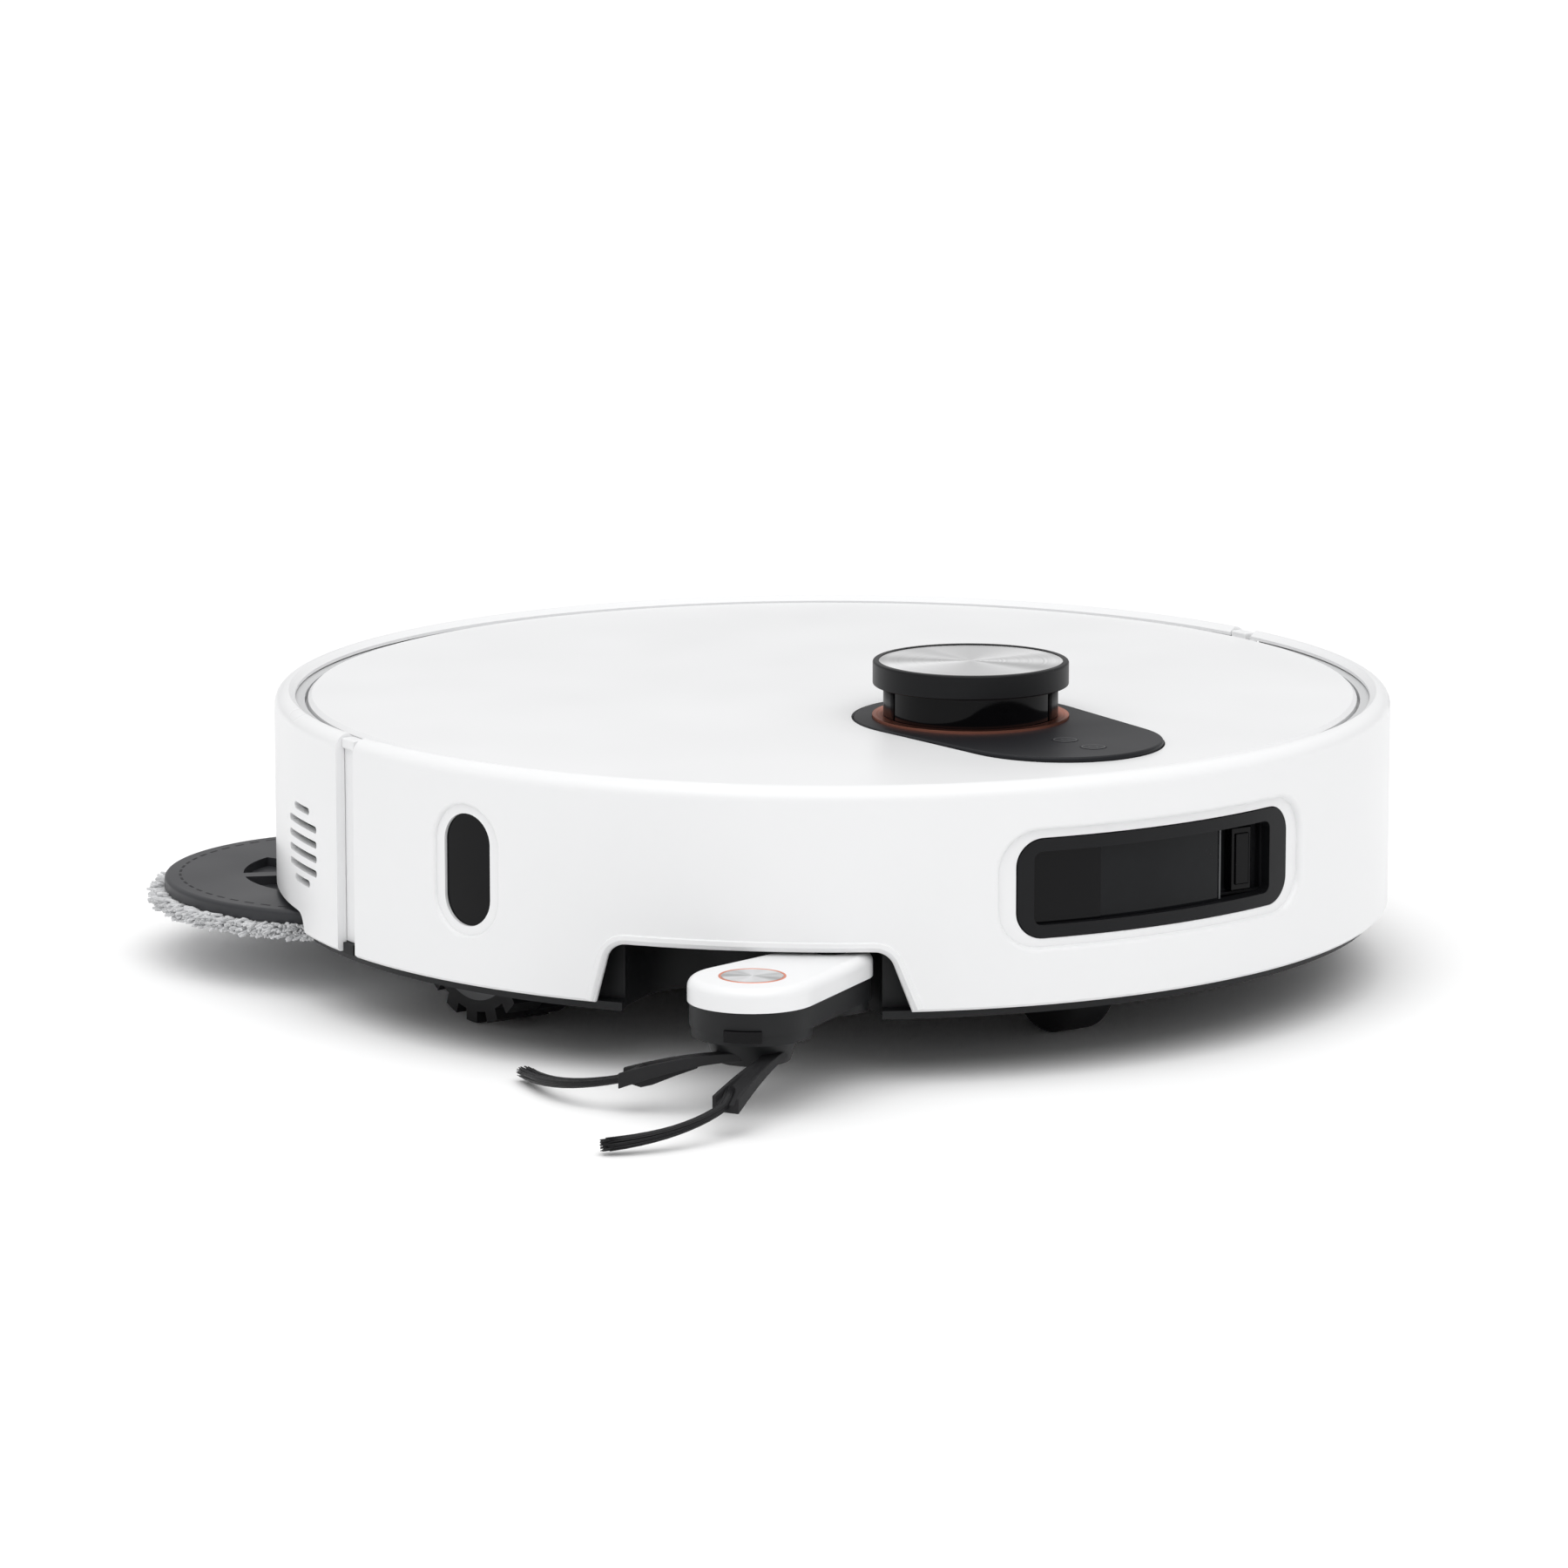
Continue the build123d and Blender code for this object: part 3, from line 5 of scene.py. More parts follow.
import bmesh
import bpy
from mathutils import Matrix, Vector

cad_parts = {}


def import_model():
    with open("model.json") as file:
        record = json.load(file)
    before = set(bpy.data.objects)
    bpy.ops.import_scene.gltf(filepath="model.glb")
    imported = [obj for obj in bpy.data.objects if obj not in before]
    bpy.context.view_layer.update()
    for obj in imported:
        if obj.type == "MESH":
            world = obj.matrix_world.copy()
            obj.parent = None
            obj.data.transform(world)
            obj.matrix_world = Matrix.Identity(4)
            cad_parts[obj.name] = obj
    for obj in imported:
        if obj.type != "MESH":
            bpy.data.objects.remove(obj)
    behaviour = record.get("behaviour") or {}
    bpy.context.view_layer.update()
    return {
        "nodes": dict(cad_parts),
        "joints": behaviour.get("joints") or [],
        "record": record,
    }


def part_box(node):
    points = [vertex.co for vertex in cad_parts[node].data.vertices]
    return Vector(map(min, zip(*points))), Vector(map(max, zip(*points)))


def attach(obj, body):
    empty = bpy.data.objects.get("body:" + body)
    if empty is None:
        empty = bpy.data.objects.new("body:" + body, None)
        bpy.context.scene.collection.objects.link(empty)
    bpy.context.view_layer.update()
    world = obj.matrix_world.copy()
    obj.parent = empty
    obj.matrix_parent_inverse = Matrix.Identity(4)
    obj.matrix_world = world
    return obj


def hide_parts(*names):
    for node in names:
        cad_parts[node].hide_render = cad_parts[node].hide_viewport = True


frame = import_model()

MM = 0.001
SEED = 7

# ---------------------------------------------------------------- places from the frame


def centre(node):
    low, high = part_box(node)
    return (Vector(low) + Vector(high)) / 2


def joint(name):
    for item in frame["joints"]:
        if item["name"] == name:
            return item
    raise KeyError(name)


TURRET = centre("turret_cap")
HUB = Vector(joint("side_brush_spin")["pos_m"])

# ---------------------------------------------------------------- material tools


class Paint:
    """One node material round a Principled shader, with short names for the nodes it needs."""

    def __init__(self, name):
        self.material = bpy.data.materials.new(name)
        self.material.use_nodes = True
        self.tree = self.material.node_tree
        self.shader = self.tree.nodes["Principled BSDF"]
        self.coords = self.tree.nodes.new("ShaderNodeTexCoord").outputs["Object"]

    def node(self, kind, **settings):
        made = self.tree.nodes.new(kind)
        for key, value in settings.items():
            setattr(made, key, value)
        return made

    def link(self, a, b):
        self.tree.links.new(a, b)

    def set(self, **values):
        for key, value in values.items():
            self.shader.inputs[key.replace("_", " ")].default_value = value

    def noise(self, scale, detail=3.0, rough=0.5, source=None):
        made = self.node("ShaderNodeTexNoise")
        made.inputs["Scale"].default_value = scale
        made.inputs["Detail"].default_value = detail
        made.inputs["Roughness"].default_value = rough
        self.link(source or self.coords, made.inputs["Vector"])
        return made.outputs["Fac"]

    def ramp(self, source, *stops):
        made = self.node("ShaderNodeValToRGB")
        ramp = made.color_ramp
        while len(ramp.elements) < len(stops):
            ramp.elements.new(0.5)
        for element, (place, colour) in zip(ramp.elements, stops):
            element.position = place
            element.color = (*colour, 1.0)
        self.link(source, made.inputs["Fac"])
        return made.outputs["Color"]

    def remap(self, source, low, high, from_low=0.3, from_high=0.7):
        made = self.node("ShaderNodeMapRange")
        made.inputs["From Min"].default_value = from_low
        made.inputs["From Max"].default_value = from_high
        made.inputs["To Min"].default_value = low
        made.inputs["To Max"].default_value = high
        self.link(source, made.inputs["Value"])
        return made.outputs["Result"]

    def math(self, operation, a, b):
        made = self.node("ShaderNodeMath", operation=operation)
        for socket, value in zip(made.inputs, (a, b)):
            if isinstance(value, (int, float)):
                socket.default_value = value
            else:
                self.link(value, socket)
        return made.outputs["Value"]

    def colour(self, source):
        self.link(source, self.shader.inputs["Base Color"])

    def roughness(self, source):
        self.link(source, self.shader.inputs["Roughness"])

    def bump(self, height, strength, distance):
        made = self.node("ShaderNodeBump")
        made.inputs["Strength"].default_value = strength
        made.inputs["Distance"].default_value = distance
        self.link(height, made.inputs["Height"])
        self.link(made.outputs["Normal"], self.shader.inputs["Normal"])


def tint(colour, factor):
    return tuple(min(1.0, c * factor) for c in colour)


def moulded(name, colour, rough=(0.3, 0.4), grain=900.0, depth=0.00003, vary=0.04, relief=0.25, **settings):
    """Injection-moulded plastic: a little cloudy in colour, with a fine grain unless relief is 0."""
    paint = Paint(name)
    cloud = paint.noise(14.0, 2.0)
    paint.colour(paint.ramp(cloud, (0.3, tint(colour, 1 - vary)), (0.7, tint(colour, 1 + vary))))
    wear = paint.noise(30.0, 1.0, 0.4)
    paint.roughness(paint.remap(wear, *rough, 0.2, 0.8))
    if relief > 0:
        paint.bump(paint.noise(grain, 2.0, 0.6), relief, depth)
    paint.set(**settings)
    return paint.material


def glossy_window(name, colour, **settings):
    """Dark polished window: nearly black, very smooth, with faint handling haze."""
    paint = Paint(name)
    haze = paint.noise(30.0, 5.0, 0.65)
    paint.colour(paint.ramp(haze, (0.35, colour), (0.8, tint(colour, 1.6))))
    paint.roughness(paint.remap(haze, 0.05, 0.11))
    paint.bump(paint.noise(60.0, 1.0), 0.03, 0.00002)
    paint.set(Specular_IOR_Level=0.16, **settings)
    return paint.material


def turned_metal_painted_sheen(name, middle, colour, rings):
    """Turned disc: fine circular grooves about its own middle, and a radial sheen painted into its colour as
    bright and dim sectors.
    """
    paint = Paint(name)
    shift = paint.node("ShaderNodeVectorMath", operation="SUBTRACT")
    shift.inputs[1].default_value = middle
    paint.link(paint.coords, shift.inputs[0])
    flat = paint.node("ShaderNodeVectorMath", operation="MULTIPLY")
    flat.inputs[1].default_value = (1, 1, 0)
    paint.link(shift.outputs["Vector"], flat.inputs[0])
    length = paint.node("ShaderNodeVectorMath", operation="LENGTH")
    paint.link(flat.outputs["Vector"], length.inputs[0])
    radius = length.outputs["Value"]
    groove = paint.node("ShaderNodeTexNoise", noise_dimensions="1D")
    groove.inputs["Scale"].default_value = rings
    groove.inputs["Detail"].default_value = 4.0
    paint.link(radius, groove.inputs["W"])
    split = paint.node("ShaderNodeSeparateXYZ")
    paint.link(flat.outputs["Vector"], split.inputs["Vector"])
    angle = paint.math("ARCTAN2", split.outputs["Y"], split.outputs["X"])
    # Painted sheen: bright and dim sectors painted into the colour, standing in for the reflections that
    # wide lights make on a turned disc.
    painted_sheen_sectors = paint.math("SINE", paint.math("MULTIPLY", angle, 2.0), 0.0)
    painted_fine_sheen = paint.math("SINE", paint.math("MULTIPLY", angle, 7.0), 0.0)
    painted_sheen_mix = paint.math("ADD", paint.math("MULTIPLY", painted_sheen_sectors, 0.75), paint.math("MULTIPLY", painted_fine_sheen, 0.25))
    level = paint.math("ADD", paint.math("MULTIPLY", groove.outputs["Fac"], 0.25), painted_sheen_mix)
    shade = paint.remap(level, 0.0, 1.0, -0.9, 1.2)
    paint.colour(paint.ramp(shade, (0.0, tint(colour, 0.5)), (0.5, colour), (1.0, tint(colour, 1.2))))
    paint.roughness(paint.remap(groove.outputs["Fac"], 0.34, 0.48))
    paint.bump(groove.outputs["Fac"], 0.25, 0.00004)
    tangent = paint.node("ShaderNodeTangent", direction_type="RADIAL", axis="Z")
    paint.link(tangent.outputs["Tangent"], paint.shader.inputs["Tangent"])
    paint.set(Metallic=1.0, Anisotropic=0.75)
    return paint.material


def plain_metal(name, colour, rough=(0.25, 0.4)):
    """Drawn or rolled metal with long fine streaks."""
    paint = Paint(name)
    stretch = paint.node("ShaderNodeMapping")
    stretch.inputs["Scale"].default_value = (40, 700, 700)
    paint.link(paint.coords, stretch.inputs["Vector"])
    streak = paint.noise(1.0, 3.0, 0.6, stretch.outputs["Vector"])
    paint.colour(paint.ramp(streak, (0.3, tint(colour, 0.88)), (0.7, tint(colour, 1.08))))
    paint.roughness(paint.remap(streak, *rough))
    paint.bump(streak, 0.15, 0.00002)
    paint.set(Metallic=1.0)
    return paint.material


def rubbery(name, colour, rough=(0.55, 0.75), grain=500.0):
    """Moulded rubber: matt, with a soft bloom and dust in the grain."""
    paint = Paint(name)
    bloom = paint.noise(60.0, 5.0, 0.65)
    paint.colour(paint.ramp(bloom, (0.35, tint(colour, 0.8)), (0.75, tint(colour, 1.7))))
    paint.roughness(paint.remap(bloom, *rough))
    paint.bump(paint.noise(grain, 3.0), 0.35, 0.00008)
    paint.set(Specular_IOR_Level=0.35)
    return paint.material


def microfibre(name, colour):
    """Chenille yarn: short pile with lighter tips, very matt."""
    paint = Paint(name)
    clump = paint.noise(160.0, 4.0, 0.7)
    pile = paint.noise(2600.0, 2.0, 0.6)
    level = paint.math("ADD", paint.math("MULTIPLY", clump, 0.7), paint.math("MULTIPLY", pile, 0.3))
    paint.colour(paint.ramp(level, (0.3, tint(colour, 0.72)), (0.52, colour), (0.7, tint(colour, 1.25))))
    paint.roughness(paint.remap(pile, 0.85, 1.0))
    paint.bump(pile, 0.6, 0.0002)
    paint.set(Sheen_Weight=0.35, Sheen_Roughness=0.5, Specular_IOR_Level=0.2)
    return paint.material


def smoked_clear(name, colour):
    """Smoked transparent plastic, as on dust boxes and tanks."""
    paint = Paint(name)
    haze = paint.noise(25.0, 4.0, 0.6)
    paint.colour(paint.ramp(haze, (0.3, tint(colour, 0.85)), (0.7, tint(colour, 1.15))))
    paint.roughness(paint.remap(haze, 0.08, 0.2))
    paint.bump(paint.noise(300.0, 2.0), 0.05, 0.00003)
    paint.set(Transmission_Weight=0.55, IOR=1.49)
    return paint.material


def circuit(name):
    """Green solder mask with pale pads."""
    paint = Paint(name)
    cells = paint.node("ShaderNodeTexVoronoi", distance="CHEBYCHEV")
    cells.inputs["Scale"].default_value = 260.0
    paint.link(paint.coords, cells.inputs["Vector"])
    paint.colour(paint.ramp(
        cells.outputs["Distance"], (0.08, (0.55, 0.5, 0.3)), (0.14, (0.01, 0.09, 0.04)),
        (0.6, (0.008, 0.06, 0.03)),
    ))
    paint.roughness(paint.remap(paint.noise(300.0), 0.25, 0.45))
    paint.bump(cells.outputs["Distance"], 0.2, 0.0001)
    return paint.material


WHITE = (0.85, 0.853, 0.858)
MATERIALS = {
    "white_shell": moulded("white_shell", WHITE, (0.27, 0.34), 1400.0, 0.00001, 0.006, 0.0),
    # Painted shade: the inner white plastic is given a mid grey, so that the groove round the lid, where it
    # shows, looks shaded.
    "white_inner": moulded("white_inner", (0.56, 0.565, 0.57), (0.4, 0.5), 1200.0, 0.00002, 0.012, 0.05),
    "dark_chassis": moulded("dark_chassis", (0.008, 0.0085, 0.0095), (0.42, 0.58), 700.0, 0.00006, 0.15,
                            Specular_IOR_Level=0.3),
    "charcoal": moulded("charcoal", (0.0125, 0.013, 0.0155), (0.4, 0.5), 1300.0, 0.00003, 0.06,
                        Specular_IOR_Level=0.2),
    "satin_dark": moulded("satin_dark", (0.0065, 0.0068, 0.0078), (0.34, 0.44), 1300.0, 0.00002, 0.06,
                          Specular_IOR_Level=0.2),
    "black_window": glossy_window("black_window", (0.0015, 0.0015, 0.002)),
    "brushed_disc": turned_metal_painted_sheen("brushed_disc", tuple(TURRET), (0.97, 0.972, 0.975), 1500.0),
    "copper_ring": turned_metal_painted_sheen("copper_ring", tuple(TURRET), (0.66, 0.27, 0.19), 900.0),
    "grey_plastic": moulded("grey_plastic", (0.09, 0.092, 0.096), (0.35, 0.5), 900.0, 0.00005, 0.08),
    "rubber": rubbery("rubber", (0.009, 0.009, 0.01)),
    "tyre": rubbery("tyre", (0.009, 0.009, 0.01), (0.5, 0.7), 350.0),
    "steel": plain_metal("steel", (0.5, 0.51, 0.52)),
    "gold_contact": plain_metal("gold_contact", (0.78, 0.6, 0.34), (0.18, 0.3)),
    "mop_plate": moulded("mop_plate", (0.034, 0.035, 0.039), (0.34, 0.46), 800.0, 0.00005, 0.05,
                         Specular_IOR_Level=0.3),
    "mop_pad": microfibre("mop_pad", (0.66, 0.665, 0.675)),
    "bristle": rubbery("bristle", (0.006, 0.006, 0.007), (0.32, 0.5), 1500.0),
    "board": circuit("board"),
    "metal_case": moulded("metal_case", (0.02, 0.021, 0.023), (0.35, 0.5), 600.0, 0.00008, 0.12),
    "fan_case": moulded("fan_case", (0.05, 0.051, 0.054), (0.35, 0.5), 600.0, 0.00008, 0.12),
    "cell_cans": moulded("cell_cans", (0.01, 0.05, 0.2), (0.25, 0.4), 200.0, 0.0001, 0.08),
    "smoked": smoked_clear("smoked", (0.25, 0.26, 0.28)),
}
PANEL_GLASS = glossy_window("panel_glass", (0.0055, 0.006, 0.007))
ARM_DISC = turned_metal_painted_sheen("arm_disc", tuple(centre("arm_badge")), (0.8, 0.805, 0.81), 2500.0)

SLOT_OF = {row["node"]: row["material_slot"] for row in frame["record"]["subparts"]}


def dress(obj, material):
    obj.data.materials.clear()
    obj.data.materials.append(material)


for node_name, node_object in frame["nodes"].items():
    dress(node_object, MATERIALS[SLOT_OF[node_name]])
dress(frame["nodes"]["arm_badge"], ARM_DISC)

# ---------------------------------------------------------------- piece tools


def piece(name, vertices, faces, body, slot, material=None, smooth=True):
    """A mesh object from points in metres, riding on a body."""
    mesh = bpy.data.meshes.new(name)
    mesh.from_pydata([tuple(v) for v in vertices], [], faces)
    mesh.update()
    work = bmesh.new()
    work.from_mesh(mesh)
    bmesh.ops.recalc_face_normals(work, faces=work.faces)
    work.to_mesh(mesh)
    work.free()
    for polygon in mesh.polygons:
        polygon.use_smooth = smooth
    made = bpy.data.objects.new(name, mesh)
    bpy.context.scene.collection.objects.link(made)
    dress(made, material or MATERIALS[slot])
    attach(made, body)
    return made


def add_skin(faces, start, rows, size):
    """Sides and both ends of a bar: rows of points after start, with size points in each row."""
    for i in range(rows - 1):
        for k in range(size):
            p = start + i * size + k
            q = start + i * size + (k + 1) % size
            faces.append((p, q, q + size, p + size))
    last = start + (rows - 1) * size
    faces.append(tuple(range(start, start + size)))
    faces.append(tuple(range(last, last + size)))


def round_edges(obj, width, segments):
    """Rounds the sharp edges of a piece, with the width in mm."""
    bevel = obj.modifiers.new("rounded", "BEVEL")
    bevel.width = width * MM
    bevel.segments = segments
    bevel.limit_method = "ANGLE"


def add_arc_bar(vertices, faces, middle, low_degrees, high_degrees, section, steps):
    """A bar bent round a vertical axis through middle, in metres; section holds (radius, height) in mm."""
    start = len(vertices)
    for i in range(steps + 1):
        a = math.radians(low_degrees + (high_degrees - low_degrees) * i / steps)
        for r, z in section:
            point = Vector((r * math.cos(a), r * math.sin(a), z)) * MM
            vertices.append(Vector((middle[0], middle[1], 0)) + point)
    add_skin(faces, start, steps + 1, len(section))


def add_tube(vertices, faces, path, radii, sides=5, squash=1.0):
    """A closed tube along a path of points, added to the lists."""
    start = len(vertices)
    count = len(path)
    for i, point in enumerate(path):
        ahead = path[min(i + 1, count - 1)] - path[max(i - 1, 0)]
        ahead.normalize()
        side = ahead.cross(Vector((0, 0, 1)))
        if side.length < 1e-6:
            side = Vector((1, 0, 0))
        side.normalize()
        up = side.cross(ahead)
        for k in range(sides):
            a = 2 * math.pi * k / sides
            offset = side * math.cos(a) + up * (math.sin(a) * squash)
            vertices.append(point + offset * radii[i])
    add_skin(faces, start, count, sides)


def lathe(name, middle, profile, body, slot, segments=96, material=None):
    """A closed ring or disc turned from (radius, height) points round a vertical axis."""
    vertices = []
    faces = []
    count = len(profile)
    for s in range(segments):
        a = 2 * math.pi * s / segments
        for r, z in profile:
            vertices.append(Vector((middle[0] + r * math.cos(a), middle[1] + r * math.sin(a), z)))
    for s in range(segments):
        t = (s + 1) % segments
        for i in range(count):
            j = (i + 1) % count
            faces.append((s * count + i, t * count + i, t * count + j, s * count + j))
    return piece(name, vertices, faces, body, slot, material)


# ---------------------------------------------------------------- curved panels and boxes


def wall_panel(name, x_low, x_high, z_low, z_high, r_in, r_out, corners, body, slot, material=None):
    """A panel that follows the round wall at the front, in mm; corners are its left and right radii."""
    columns = 40
    vertices = []
    faces = []
    for i in range(columns + 1):
        # Columns gather at both ends, so that the corners stay round.
        x = (x_low + x_high) / 2 - (x_high - x_low) / 2 * math.cos(math.pi * i / columns)
        cut = 0.0
        for radius, gap in ((corners[0], x - x_low), (corners[1], x_high - x)):
            if gap < radius:
                cut = max(cut, radius - math.sqrt(max(0.0, radius ** 2 - (radius - gap) ** 2)))
        for r, z in ((r_out, z_low + cut), (r_out, z_high - cut), (r_in, z_high - cut), (r_in, z_low + cut)):
            vertices.append(Vector((x, -math.sqrt(r * r - x * x), z)) * MM)
    add_skin(faces, 0, columns + 1, 4)
    return piece(name, vertices, faces, body, slot, material, smooth=False)


def add_box(vertices, faces, low, high):
    start = len(vertices)
    for x in (low[0], high[0]):
        for y in (low[1], high[1]):
            for z in (low[2], high[2]):
                vertices.append(Vector((x, y, z)) * MM)
    for face in ((0, 1, 3, 2), (4, 6, 7, 5), (0, 4, 5, 1), (2, 3, 7, 6), (0, 2, 6, 4), (1, 5, 7, 3)):
        faces.append(tuple(start + k for k in face))


def ring_piece(name, phi_low, phi_high, r_in, r_out, z_low, z_high, body, slot):
    """A strip of round wall in mm and degrees, measured from the front towards the robot's right."""
    vertices = []
    faces = []
    section = ((r_in, z_low), (r_out, z_low), (r_out, z_high), (r_in, z_high))
    add_arc_bar(vertices, faces, (0, 0), -90 - phi_low, -90 - phi_high, section, 12)
    return piece(name, vertices, faces, body, slot, smooth=False)


# ---------------------------------------------------------------- front window

# All in mm. The window runs from left to right in three parts: lens, cover panel and camera pocket.
WINDOW_LOW = 45.3
WINDOW_HIGH = 67.1
WINDOW_BACK_R = 169.2
SQUARE = 0.01
POCKET_X = (22.7, 41.9)
POCKET_WALL = 0.8
POCKET_FRONT_Y = -164.4
POCKET_BACK_Y = -162.2


def front_window():
    """Lens, cover panel and camera pocket behind the bezel, each its own piece."""
    low, high = WINDOW_LOW, WINDOW_HIGH
    lens = wall_panel("window_lens", -44.9, -22.3, low, high, WINDOW_BACK_R, 170.9, (2.4, SQUARE),
                      "bumper", "black_window")
    wall_panel("window_panel", -22.0, 22.0, low, high, WINDOW_BACK_R, 170.5, (SQUARE, SQUARE),
               "bumper", "black_window", PANEL_GLASS)
    wall_panel("window_edge", 22.05, 22.55, low + 0.4, high - 0.4, 168.6, 170.9, (SQUARE, SQUARE),
               "bumper", "satin_dark", MATERIALS["grey_plastic"])
    vertices = []
    faces = []
    # Pocket: side walls, floor, roof and back, open to the front.
    x_low, x_high = POCKET_X
    front, back = POCKET_FRONT_Y, POCKET_BACK_Y
    add_box(vertices, faces, (x_low, front - 3.2, low), (x_low + POCKET_WALL, back, high))
    add_box(vertices, faces, (x_high - POCKET_WALL, front - 0.2, low), (x_high, back, high))
    add_box(vertices, faces, (x_low, front, low), (x_high, back, low + POCKET_WALL))
    add_box(vertices, faces, (x_low, front, high - POCKET_WALL), (x_high, back, high))
    add_box(vertices, faces, (x_low, back - 0.2, low), (x_high, back + 0.6, high))
    piece("window_pocket", vertices, faces, "bumper", "satin_dark", smooth=False)
    vertices = []
    faces = []
    # Camera block with a stepped front.
    add_box(vertices, faces, (29.2, -166.2, 46.6), (36.6, -162.5, 65.8))
    add_box(vertices, faces, (30.4, -166.8, 48.4), (35.4, -166.1, 64.0))
    block = piece("camera_block", vertices, faces, "bumper", "black_window", smooth=False)
    round_edges(block, 0.4, 2)
    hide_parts("front_glass")


front_window()

# ---------------------------------------------------------------- seams and small trims

# Angles from the front, then inner and outer radius and low and high edge in mm.
GROOVE_STRIP = ((90.75, 94.3), (170.95, 171.8, 24.6, 84.9))
GROOVE_CAP = ((91.6, 93.95), (168.7, 173.0, 84.2, 87.4))


def groove_pieces(label, sign):
    """Strip in the seam between bumper and rear shell, and the cap on its top end."""
    angles, sizes = GROOVE_STRIP
    ring_piece(f"groove_strip_{label}", *sorted(sign * a for a in angles), *sizes, "root", "white_shell")
    angles, sizes = GROOVE_CAP
    cap = ring_piece(f"groove_cap_{label}", *sorted(sign * a for a in angles), *sizes, "root", "white_shell")
    round_edges(cap, 1.2, 3)


groove_pieces("right", 1)
groove_pieces("left", -1)


# ---------------------------------------------------------------- lip of the notch, in mm

NOTCH_PHI = 43.0
NOTCH_OUTLINE = ((-46.4, 21.6), (-41.6, 39.5), (40.4, 39.5), (47.5, 21.6))
NOTCH_ROUND = 6.0
WALL_R = 175.0
LIP_STEP = 2.0
# Section of the lip: distance from the notch's edge, and height above the wall.
LIP_SECTION = ((0.95, -0.25), (0.95, 0.12), (1.6, 0.55), (2.9, 0.5), (3.3, -0.2))


def rounded_line(corners, radius, steps=6):
    """Points along an open line whose inner corners are rounded."""
    points = [Vector(corners[0])]
    for before, corner, after in zip(corners, corners[1:], corners[2:]):
        corner = Vector(corner)
        start = (Vector(before) - corner).normalized()
        end = (Vector(after) - corner).normalized()
        half = start.angle(end) / 2
        reach = radius / math.tan(half)
        middle = corner + (start + end).normalized() * (radius / math.sin(half))
        first = corner + start * reach - middle
        last = corner + end * reach - middle
        for i in range(steps + 1):
            t = i / steps
            points.append(middle + first.slerp(last, t) * radius)
    points.append(Vector(corners[-1]))
    return points


def fine_line(points, step):
    """The same line with more points, so that it can follow the round wall."""
    fine = [points[0]]
    for start, end in zip(points, points[1:]):
        count = max(1, math.ceil((end - start).length / step))
        for i in range(count):
            fine.append(start.lerp(end, (i + 1) / count))
    return fine


def notch_lip():
    """Raised lip on the wall along the notch's edge."""
    line = fine_line(rounded_line(NOTCH_OUTLINE, NOTCH_ROUND), LIP_STEP)
    vertices = []
    faces = []
    for i, point in enumerate(line):
        ahead = (line[min(i + 1, len(line) - 1)] - line[max(i - 1, 0)]).normalized()
        out = Vector((-ahead.y, ahead.x))
        for offset, height in LIP_SECTION:
            u, z = point + out * offset
            phi = math.radians(NOTCH_PHI) - math.asin(u / WALL_R)
            r = WALL_R + height
            vertices.append(Vector((-r * math.sin(phi), -r * math.cos(phi), z)) * MM)
    add_skin(faces, 0, len(line), len(LIP_SECTION))
    piece("notch_lip", vertices, faces, "bumper", "white_shell", smooth=False)


notch_lip()


# ---------------------------------------------------------------- trims of the arm and the turret

ARM_WINDOW_ANGLES = (210.0, 244.0)
ARM_WINDOW_SECTION = ((18.5, 22.7), (19.15, 22.9), (19.15, 26.2), (18.5, 26.4))
PILLAR_ANGLES = (159.0, 311.0, 55.0)
PILLAR_HALF = 13.0
PILLAR_SECTION = ((26.2, 89.0), (26.75, 89.0), (26.75, 99.6), (26.2, 99.6))
BADGE_RING_SECTION = ((9.1, 38.3), (9.9, 38.3), (9.8, 38.62), (9.1, 38.62))


def arm_window():
    """Small dark sensor window on the round end of the arm's housing."""
    vertices = []
    faces = []
    add_arc_bar(vertices, faces, HUB, *ARM_WINDOW_ANGLES, ARM_WINDOW_SECTION, 10)
    piece("arm_window", vertices, faces, "side_arm", "black_window", smooth=False)


arm_window()


def neck_pillars():
    """Slim uprights round the turret's window, between its flange and its cap."""
    vertices = []
    faces = []
    for degrees in PILLAR_ANGLES:
        low = degrees - PILLAR_HALF
        add_arc_bar(vertices, faces, TURRET, low, low + 2 * PILLAR_HALF, PILLAR_SECTION, 6)
    piece("turret_pillars", vertices, faces, "turret", "black_window", MATERIALS["satin_dark"])


neck_pillars()

lathe("arm_badge_ring", centre("arm_badge"), [(r * MM, z * MM) for r, z in BADGE_RING_SECTION],
      "side_arm", "copper_ring")

# ---------------------------------------------------------------- mop pads


EDGE_YARNS = 2100
UNDER_YARNS = 1300
GOLDEN_ANGLE = 2.39996
HOLE_R = 0.5 * MM


def fibre_path(rng, root, lean, length, curl):
    """A short yarn end that starts at root, leans outwards and curls a little."""
    bend = Vector((rng.uniform(-1, 1), rng.uniform(-1, 1), rng.uniform(-0.6, 0.9)))
    points = []
    for i in range(4):
        t = i / 3
        points.append(root + lean * (length * t) + bend * (length * curl * t * t))
    return points


